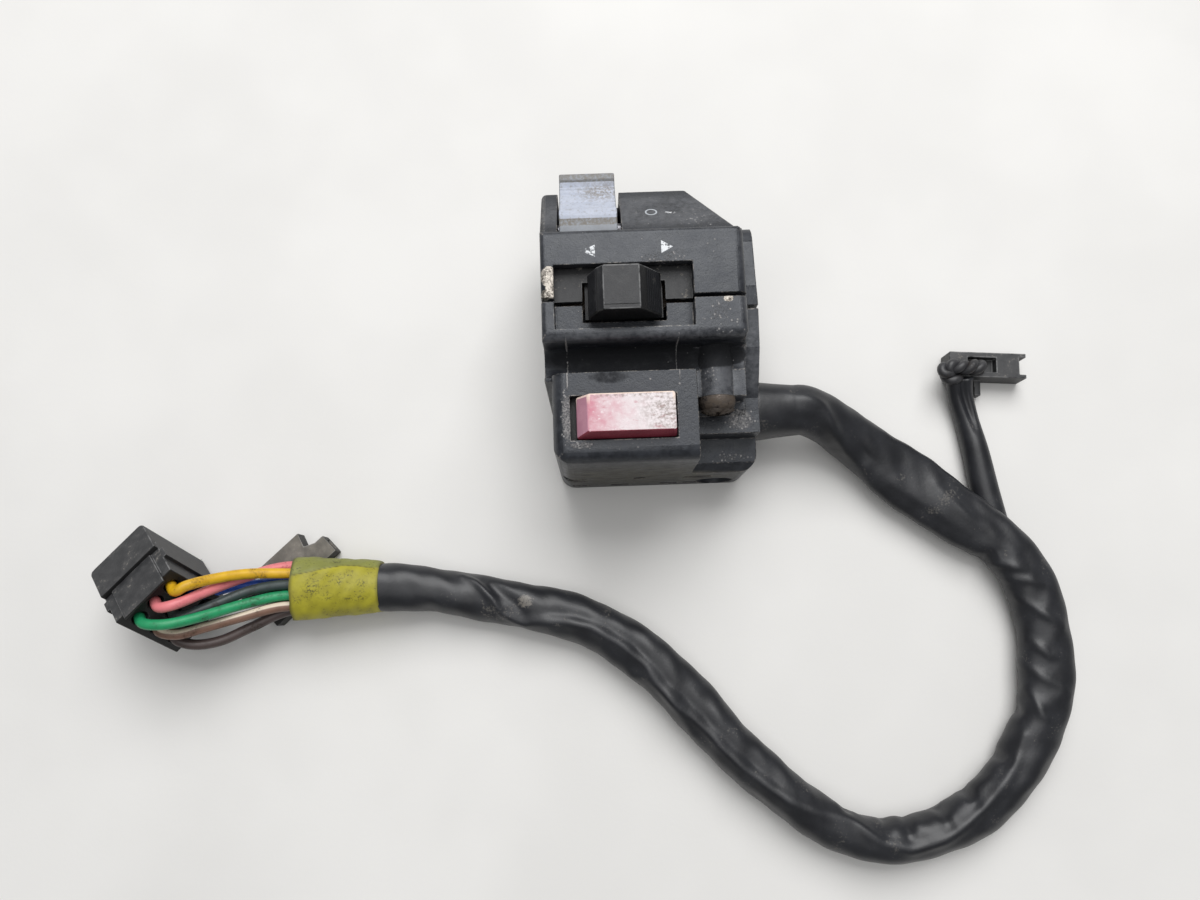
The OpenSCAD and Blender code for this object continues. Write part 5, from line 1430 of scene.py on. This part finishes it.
@dataclass
class Housing:
    """The two painted halves and the screws that pull them together."""

    edge: float = 0.2
    ridge_round: float = 1.2
    corner: float = 1.6
    seat: float = -21.0
    head: Triple = (13.6, 15.3, 4.25)
    head_round: float = 2.1
    left: float = -25.5
    right: float = 20.2
    panel: float = 16.2
    panel_rise: Pair = (24.7, 25.4)  # heights in mm where its corner starts to be round and is whole
    bezel: float = -9.3
    bezel_rise: Pair = (20.0, 22.5)  # the same for the bezel
    ridge: tuple[Pair, ...] = ((16.4, 24.6), (30.8, 13.19), (31.5, 11.79), (31.5, -20.0))

    def build(self) -> None:
        """Makes and dresses the halves and the screws."""
        upper = Bench.copy_of("upper_shell", "upper_shell_painted")
        Bench.fillet(upper, self.on_ridge, self.ridge_round)
        lower = Bench.copy_of("lower_shell", "lower_shell_painted")
        Bench.round_plan(upper, (self.right, self.panel), self.corner, self.panel_rise)
        Bench.round_plan(lower, (self.right, self.bezel), self.corner, self.bezel_rise)
        shells = ((upper, "upper_shell", self.upper_paint()), (lower, "lower_shell", self.lower_paint()))
        for shell, node, paint in shells:
            Bench.round_edges(shell, self.edge)
            Bench.smooth(shell)
            place_piece(shell, paint.make(), Body.HOUSING, "housing", node)
        screws = Bench.copy_of("clamp_screws", "clamp_screws_worn")
        Bench.fillet(screws, self.on_rim, self.head_round, 6)
        Bench.smooth(screws, 40)
        place_piece(screws, OLD_SCREW.make(), Body.HOUSING, "clamp_screw", "clamp_screws")

    def on_ridge(self, a: Vector, b: Vector) -> bool:
        """Whether an edge runs down the slope's left edge or round the corner behind it."""
        def near(point: Vector) -> bool:
            """Whether a point lies on that outline."""
            if abs(point.x - self.left) > TOLERANCE:
                return False
            for start, end in zip(self.ridge, self.ridge[1:]):
                run = Vector(end) - Vector(start)
                reach = (point.yz - Vector(start)).dot(run) / run.length_squared
                if -0.01 <= reach <= 1.01 and (point.yz - Vector(start) - run * reach).length < TOLERANCE:
                    return True
            return False
        return near(a) and near(b)

    def on_rim(self, a: Vector, b: Vector) -> bool:
        """Whether an edge runs round the outer rim of the front screw's head."""
        x, z, radius = self.head
        return all(p.y < self.seat - 1 and abs(math.hypot(p.x - x, p.z - z) - radius) < 0.06 for p in (a, b)) \
            and abs(a.y - b.y) < 0.01

    @staticmethod
    def upper_paint() -> CastPaint:
        """The paint of the upper half, with its arrows, ring mark and chips."""
        return CastPaint(
            "upper_half_paint",
            dust=(Spot((1.0, 8.9, 27), (5.0, 1.6, 2), 0.48), Spot((5.0, 9.6, 27), (3.2, 1.8, 2), 0.44),
                  Spot((11, 20, 22), (6, 7, 6), 0.34), Spot((21, 8, 16), (5, 9, 14), 0.26),
                  Spot((14.0, 12.0, 26), (5, 4, 3), 0.3),
                  Spot((4.8, 22.6, 19.7), (2.0, 0.6, 2), 0.55), Spot((-3.3, 22.8, 19.5), (0.35, 0.9, 1.5), 0.5)),
            chips=(Spot((-23.6, 5.4, 27), (2.0, 2.4, 2.2), 1.0, 0.35),
                   Spot((-23.0, 2.6, 27), (1.5, 2.4, 2.2), 0.95, 0.35),
                   Spot((-24.4, 1.2, 27), (1.2, 1.2, 2.2), 0.9, 0.35), Spot((4.4, 0.3, 26), (2.4, 0.35, 4), 0.75)),
            outlines=((((1.6, 9.95), (4.2, 11.4), (1.6, 12.95)), 0.50),
                      (((-13.2, 9.6), (-13.2, 12.4), (-16.4, 11.1)), 0.54),
                      (((3.6, 22.75), (5.6, 22.25), (5.6, 22.5), (3.6, 23.0)), 0.55),
                      (((3.9, 22.2), (6.2, 22.6), (6.2, 22.85), (3.9, 22.45)), 0.55)),
            rings=((0.24, 22.98, 19.4),),
            # Pale slate patches on the slope and across the panel: partly a grey bloom on the paint, partly painted
            # highlight.
            bloom_and_sheen=(Spot((0, 23.5, 19), (34, 7, 6), 0.75, 0.3), Spot((0, 12, 27), (40, 6, 2), 0.3, 0.4)))

    @staticmethod
    def lower_paint() -> CastPaint:
        """The paint of the lower half, with its dusty edges and the grime of the underside."""
        return CastPaint(
            "lower_half_paint",
            dust=(Spot((14.5, -5.0, 27), (4.5, 4.5, 2), 0.5), Spot((15.5, -3.0, 26), (2.6, 2.4, 2), 0.4),
                  Spot((-20.3, -13.5, 22), (0.28, 7.6, 6), 0.95), Spot((4.6, -13.5, 22), (0.26, 7.0, 6), 0.9),
                  Spot((-20.6, -26.0, 24), (1.5, 7.5, 2), 0.6), Spot((-17.5, -32.3, 24), (3.4, 1.0, 2), 0.56),
                  Spot((-7, -33.0, 24), (6, 0.9, 2), 0.42), Spot((6.2, -13.3, 23), (0.9, 0.7, 3), 0.5),
                  Spot((-1.2, -18.0, 24), (1.5, 0.5, 1), 0.5), Spot((3.9, -19.0, 24), (1.1, 0.7, 1), 0.45),
                  Spot((19.5, -25.0, 10), (4.2, 3.6, 4), 0.56), Spot((14.0, -26.5, 10), (5, 2.0, 3), 0.36),
                  Spot((12.5, -17, 18), (2.2, 4, 4), 0.44), Spot((17.0, -32.6, 2.4), (6, 1.6, 3), 0.46),
                  Spot((-20.5, -35.3, -6), (3.6, 0.6, 1.6), 0.4), Spot((10.5, -35.3, -6), (3.6, 0.6, 1.6), 0.4),
                  Spot((-19.5, -3.4, 27), (3.5, 2.6, 2), 0.36), Spot((-16.5, -7.4, 26), (6, 0.8, 3), 0.42)),
            chips=(Spot((15.9, -1.0, 27), (1.1, 0.8, 1.5), 0.95, 0.25),),
            grime=(Spot((-6, -38.6, -1), (50, 3.0, 30), 1.0, 0.2),),
            # Darkened patches: painted shade in the groove under the bezel, over the top of the front boss and in the
            # two holes of the underside, and two darker patches by the horn recess.
            stains_and_shade=(Spot((-11.0, -17.2, 24), (5.0, 1.6, 1), 0.7, 0.5), Spot((5.2, -24, 24), (1.2, 6, 1), 0.35, 0.4),
                    Spot((-3, -12.0, 19), (32, 3.2, 3.6), 0.9, 0.2),
                    Spot((14.5, -11.4, 18.5), (7.5, 2.6, 4.5), 1.0, 0.25),
                    Spot((-20.5, -35.2, -6), (3.9, 0.8, 2.1), 0.9, 0.2),
                    Spot((10.5, -35.2, -6), (3.9, 0.8, 2.1), 0.9, 0.2)),
            # Pale slate patches: partly painted highlight on the front boss, the bezel's rounding and the flange beside
            # it, partly a faint grey bloom across the bezel.
            bloom_and_sheen=(Spot((13.5, -18.0, 19), (6, 5, 4), 0.9, 0.4), Spot((0, -3.5, 27), (40, 6, 2), 0.3, 0.4),
                  Spot((-3, -8.7, 25.6), (27, 1.6, 2.2), 0.9, 0.4), Spot((22.5, -13, 16), (3.4, 11, 6), 1.0, 0.4)))


@dataclass
class TurnSwitch:
    """The indicator slide: its cover plate and the ribbed knob."""

    middle: float = -7.0
    flank_low: Pair = (8.1, 27.3)
    flank_tops: tuple[tuple[Side, float], ...] = ((Side.LEFT, -13.1), (Side.RIGHT, -2.5))
    flank_high: float = 32.0
    top: float = 33.5
    groove_y: Pair = (-3.75, -3.55)
    groove_deep: float = 0.16
    ribs: int = 7
    rib_span: Pair = (0.12, 0.92)  # shares of the flank's height
    rib_out: float = 0.14
    plate_edge: float = 0.15
    knob_edge: float = 0.28

    def build(self) -> None:
        """Makes and dresses the plate and the knob."""
        plate = Bench.copy_of("turn_cover_plate", "turn_cover_plate_moulded")
        Bench.round_edges(plate, self.plate_edge)
        Bench.smooth(plate)
        place_piece(plate, BLACK_PLASTIC.make(), Body.HOUSING, "black_plastic", "turn_cover_plate")
        knob = Bench.copy_of("turn_knob", "turn_knob_ribbed")
        Bench.round_edges(knob, self.knob_edge)
        self.cut_groove(knob)
        flanks = [self.flank(side, inner) for side, inner in self.flank_tops]
        for low, high, out in flanks:
            self.cut_ribs(knob, low, high, out)

        def shade(middle: Vector, normal: Vector) -> float:
            """How dark a face is: painted shade on the front bevel and in the grooves between the ribs."""
            sunk = any(normal.dot(out) > 0.98 and (middle - low).dot(out) < self.rib_out / 2 * MM
                       for low, _, out in flanks)
            return 1.0 if sunk else 1.2 * float(normal.y < -0.3 and normal.z < 0.95)
        Bench.mark(knob, "dark", shade)
        Bench.smooth(knob, 48)
        place_piece(knob, KNOB_PLASTIC.make(), Body.KNOB, "knob_plastic", "turn_knob")

    def cut_groove(self, knob: bpy.types.Object) -> None:
        """Sinks the fine line across the top, near its lower end."""
        def top(middle: Vector, normal: Vector) -> bool:
            """Whether a face is the flat top."""
            return normal.z > 0.99 and middle.z > (self.top - TOLERANCE) * MM
        for y in self.groove_y:
            Bench.pick(knob, top)
            Bench.score(mm(0, y, 0), (0, 1, 0))
        low, high = self.groove_y
        Bench.pick(knob, lambda m, n: top(m, n) and low * MM < m.y < high * MM)
        Bench.extrude(mm(0, 0, -self.groove_deep))

    def flank(self, side: Side, inner: float) -> tuple[Vector, Vector, Vector]:
        """Where a flank lies.

        Args:
            side: Which flank.
            inner: The flank's upper edge, X in mm.

        Returns:
            A point on its lower edge, one on its upper edge and its outward direction.
        """
        low = Vector((self.middle + side.value * self.flank_low[0], 0, self.flank_low[1])) * MM
        high = Vector((inner, 0, self.flank_high)) * MM
        slope = (high - low).normalized()
        return low, high, Vector((slope.z * side.value, 0, -slope.x * side.value))

    def cut_ribs(self, knob: bpy.types.Object, low: Vector, high: Vector, out: Vector) -> None:
        """Raises fine ribs along one flank.

        Args:
            knob: The knob.
            low: A point on the flank's lower edge.
            high: A point on its upper edge.
            out: Its outward direction.
        """
        slope = (high - low).normalized()

        def flank(middle: Vector, normal: Vector) -> bool:
            """Whether a face lies on this flank."""
            return normal.dot(out) > 0.98
        marks = np.linspace(*self.rib_span, 2 * self.ribs)
        for mark in marks:
            Bench.pick(knob, flank)
            Bench.score(low.lerp(high, mark), slope)
        span = (high - low).length

        def rib(middle: Vector, normal: Vector) -> bool:
            """Whether a face is one of the strips that stand proud."""
            reach = (middle - low).dot(slope) / span
            strip = int(np.searchsorted(marks, reach))
            return flank(middle, normal) and strip % 2 == 1
        Bench.pick(knob, rib)
        Bench.extrude(out * self.rib_out * MM)


@dataclass
class HornSwitch:
    """The horn button in its recess."""

    flange: float = 21.5
    inset: float = 1.1
    edge: float = 0.5

    def build(self) -> None:
        """Makes and dresses the button, with the worn gap at its left end."""
        button = Bench.copy_of("horn_button", "horn_button_faded")
        Bench.pick(button, lambda m, n: n.x < -0.3 and m.z > self.flange * MM)
        Bench.shift(mm(self.inset, 0, 0))
        Bench.round_edges(button, self.edge, 3)
        Bench.mark(button, "side", lambda m, n: float(n.y < -0.35 or n.y > 0.9 or n.x > 0.9 or n.z < 0.1))
        Bench.mark(button, "end", lambda m, n: float(n.x < -0.45 and n.y > -0.5))
        Bench.smooth(button)
        place_piece(button, HornPlastic().make(), Body.HORN, "horn_red", "horn_button")


@dataclass
class DimmerSwitch:
    """The pale rocker on the slope."""

    pivot: Pair = (21.5, 13.0)
    slope: float = 38.4
    lip: float = 9.3
    ridge: Pair = (-8.6, -7.4)
    face: float = 5.5
    edge: float = 0.35
    dips: tuple[Pair, ...] = ((-8.6, 0.0), (-7.4, 0.0), (-4.5, 0.07), (-2.5, 0.2), (-0.5, 0.32), (1.5, 0.44),
                             (3.5, 0.56), (5.2, 0.68), (6.8, 0.8), (8.2, 0.91), (9.3, 1.0))

    def across(self, point: Vector) -> Pair:
        """A point's places along and out of the slope, in mm."""
        angle = math.radians(self.slope)
        y, z = point.y / MM - self.pivot[0], point.z / MM - self.pivot[1]
        return (y * math.cos(angle) - z * math.sin(angle), y * math.sin(angle) + z * math.cos(angle))

    def hollow_face(self, rocker: bpy.types.Object) -> None:
        """Scores the face across and sinks it towards its upper end, so that a lip is left there."""
        angle = math.radians(self.slope)
        along = Vector((0, math.cos(angle), -math.sin(angle)))
        out = Vector((0, math.sin(angle), math.cos(angle)))
        middle = Vector((0, self.pivot[0], self.pivot[1])) * MM
        for place, depth in self.dips:
            Bench.pick(rocker, lambda m, n: n.dot(out) > 0.5 and self.across(m)[1] > self.face)
            bpy.ops.mesh.bisect(plane_co=middle + along * place * MM, plane_no=along)
            bpy.ops.mesh.select_all(action="DESELECT")
            Bench.close()
            for vertex in rocker.data.vertices:
                a, height = self.across(vertex.co)
                vertex.select = abs(a - place) < 0.02 and height > self.face
            bpy.ops.object.mode_set(mode="EDIT")
            bpy.ops.mesh.select_mode(type="VERT")
            Bench.shift(out * -depth * MM)

    def build(self) -> None:
        """Makes and dresses the rocker."""
        rocker = Bench.copy_of("dimmer_rocker", "dimmer_rocker_moulded")
        self.hollow_face(rocker)
        Bench.round_edges(rocker, self.edge, 3, wide=6.0)
        start, end = self.ridge

        def hollow(middle: Vector, normal: Vector) -> float:
            """1 on the concave face."""
            a, out = self.across(middle)
            return float(end < a < self.lip and out > self.face - 1 and abs(normal.x) < 0.5)

        def dirt(middle: Vector, normal: Vector) -> float:
            """Dirt on the two ridges and their bands."""
            a = self.across(middle)[0]
            return 0.9 if start < a < end else 0.75 if a > self.lip else 0.2 if a < start else 0.12
        Bench.mark(rocker, "hollow", hollow)
        Bench.mark(rocker, "dirt", dirt)
        Bench.smooth(rocker, 40)
        place_piece(rocker, RockerPlastic().make(), Body.ROCKER, "rocker_grey", "dimmer_rocker")


@dataclass(frozen=True)
class Coil:
    """A coil spring that rides on a body."""

    node: str
    body: Body
    joint: str
    fixed: Triple
    keep: float

    def build(self, material: bpy.types.Material) -> None:
        """Makes the spring."""
        wire = Bench.copy_of(self.node, f"{self.node}_wire")
        Bench.smooth(wire)
        place_piece(wire, material, self.body, "steel", self.node)
        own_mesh(wire)


@dataclass
class InnerWorks:
    """Contacts, balls and boards inside, which keep their CAD shapes, and the two springs."""

    coils: tuple[Coil, ...] = (Coil("horn_spring", Body.HOUSING, "horn_press", (-8.1, -26.2, 11.54), 0.69),
                               Coil("turn_cancel_spring", Body.CARRIAGE, "turn_push", (-7.0, 0.6, 18.03), 0.775))

    def dress(self) -> None:
        """Gives each inner node its finish and makes the springs."""
        brass, steel, board, plastic = BRASS.make(), STEEL.make(), INSULATOR.make(), BLACK_PLASTIC.make()
        for material, nodes in (
                (brass, ("turn_fixed_contacts", "turn_moving_contacts", "horn_contact_plate", "horn_fixed_contacts",
                         "dimmer_fixed_contacts", "dimmer_moving_contacts")),
                (steel, ("turn_base_screws", "turn_detent_ball", "turn_detent_spring",
                         "horn_base_screws", "dimmer_pivot_pin", "dimmer_detent_ball", "dimmer_detent_spring")),
                (board, ("turn_contact_base", "horn_contact_base", "dimmer_contact_base")),
                (plastic, ("turn_carriage",)),
                (SleeveVinyl("grommet_vinyl").make(), ("cable_grommet",))):
            for node in nodes:
                dress_node(node, material)
        for coil in self.coils:
            coil.build(steel)


# ---------------------------------------------------------------- stage


@dataclass
class Studio:
    """Table, soft light and camera."""

    table: float = -19.5
    table_size: float = 6.0
    room: Colour = (0.98, 0.99, 1.0, 1)
    room_light: float = 0.24
    lens: float = 28.5
    eye: Triple = (-0.0148, -0.0678, 0.228)
    turn: Triple = (9.56, 0.0, -2.0)

    def build(self) -> None:
        """Makes the table, lights and camera."""
        scene = bpy.context.scene
        scene.view_settings.view_transform = "Standard"
        bpy.ops.object.select_all(action="DESELECT")
        bpy.ops.mesh.primitive_plane_add(size=self.table_size, location=(0, 0, self.table * MM))
        floor = bpy.context.object
        floor.name = "table_top"
        bpy.ops.object.transform_apply(location=True, rotation=True, scale=True)
        Bench.dress(floor, TableTop().make())
        camera = Bench.link("view_camera", bpy.data.cameras.new("view_camera"))
        camera.data.lens = self.lens
        camera.data.sensor_width = 36.0
        camera.data.sensor_fit = "HORIZONTAL"
        camera.data.clip_start = 0.01
        camera.location = self.eye
        camera.rotation_euler = tuple(math.radians(value) for value in self.turn)
        scene.camera = camera
        world = bpy.data.worlds.new("soft_room")
        world.use_nodes = True
        inputs = world.node_tree.nodes["Background"].inputs
        inputs["Color"].default_value = self.room
        inputs["Strength"].default_value = self.room_light
        scene.world = world
        self.lamp("key_light", (0.10, 0.60, 0.90), 0.8, 11.6)
        self.lamp("top_light", (-0.05, -0.10, 1.20), 1.0, 4.2)

    @staticmethod
    def lamp(name: str, place: Triple, size: float, power: float) -> None:
        """One square soft light turned to the object."""
        light = bpy.data.lights.new(name, "AREA")
        light.size = size
        light.energy = power
        obj = Bench.link(name, light)
        obj.location = place
        obj.rotation_euler = (Vector((0, -0.03, 0)) - Vector(place)).to_track_quat("-Z", "Y").to_euler()


def main() -> None:
    """Builds the stage, the cords and the switch cluster, in that order."""
    logging.basicConfig(level=logging.INFO, format="%(name)s %(message)s")
    Studio().build()
    loom = Loom()
    sleeve, line = loom.build()
    vinyl = SleeveVinyl("loom_vinyl", (Spot((-33, -65, -9), (2.5, 2.0, 3), 0.6),))
    place_piece(sleeve, vinyl.make(), Body.HOUSING, "sleeve", "loom_sleeve")
    ends = LoomEnd().build()
    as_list(ends)
    Branch().build()
    Housing().build()
    TurnSwitch().build()
    HornSwitch().build()
    DimmerSwitch().build()
    InnerWorks().dress()


if __name__ == "__main__":
    main()
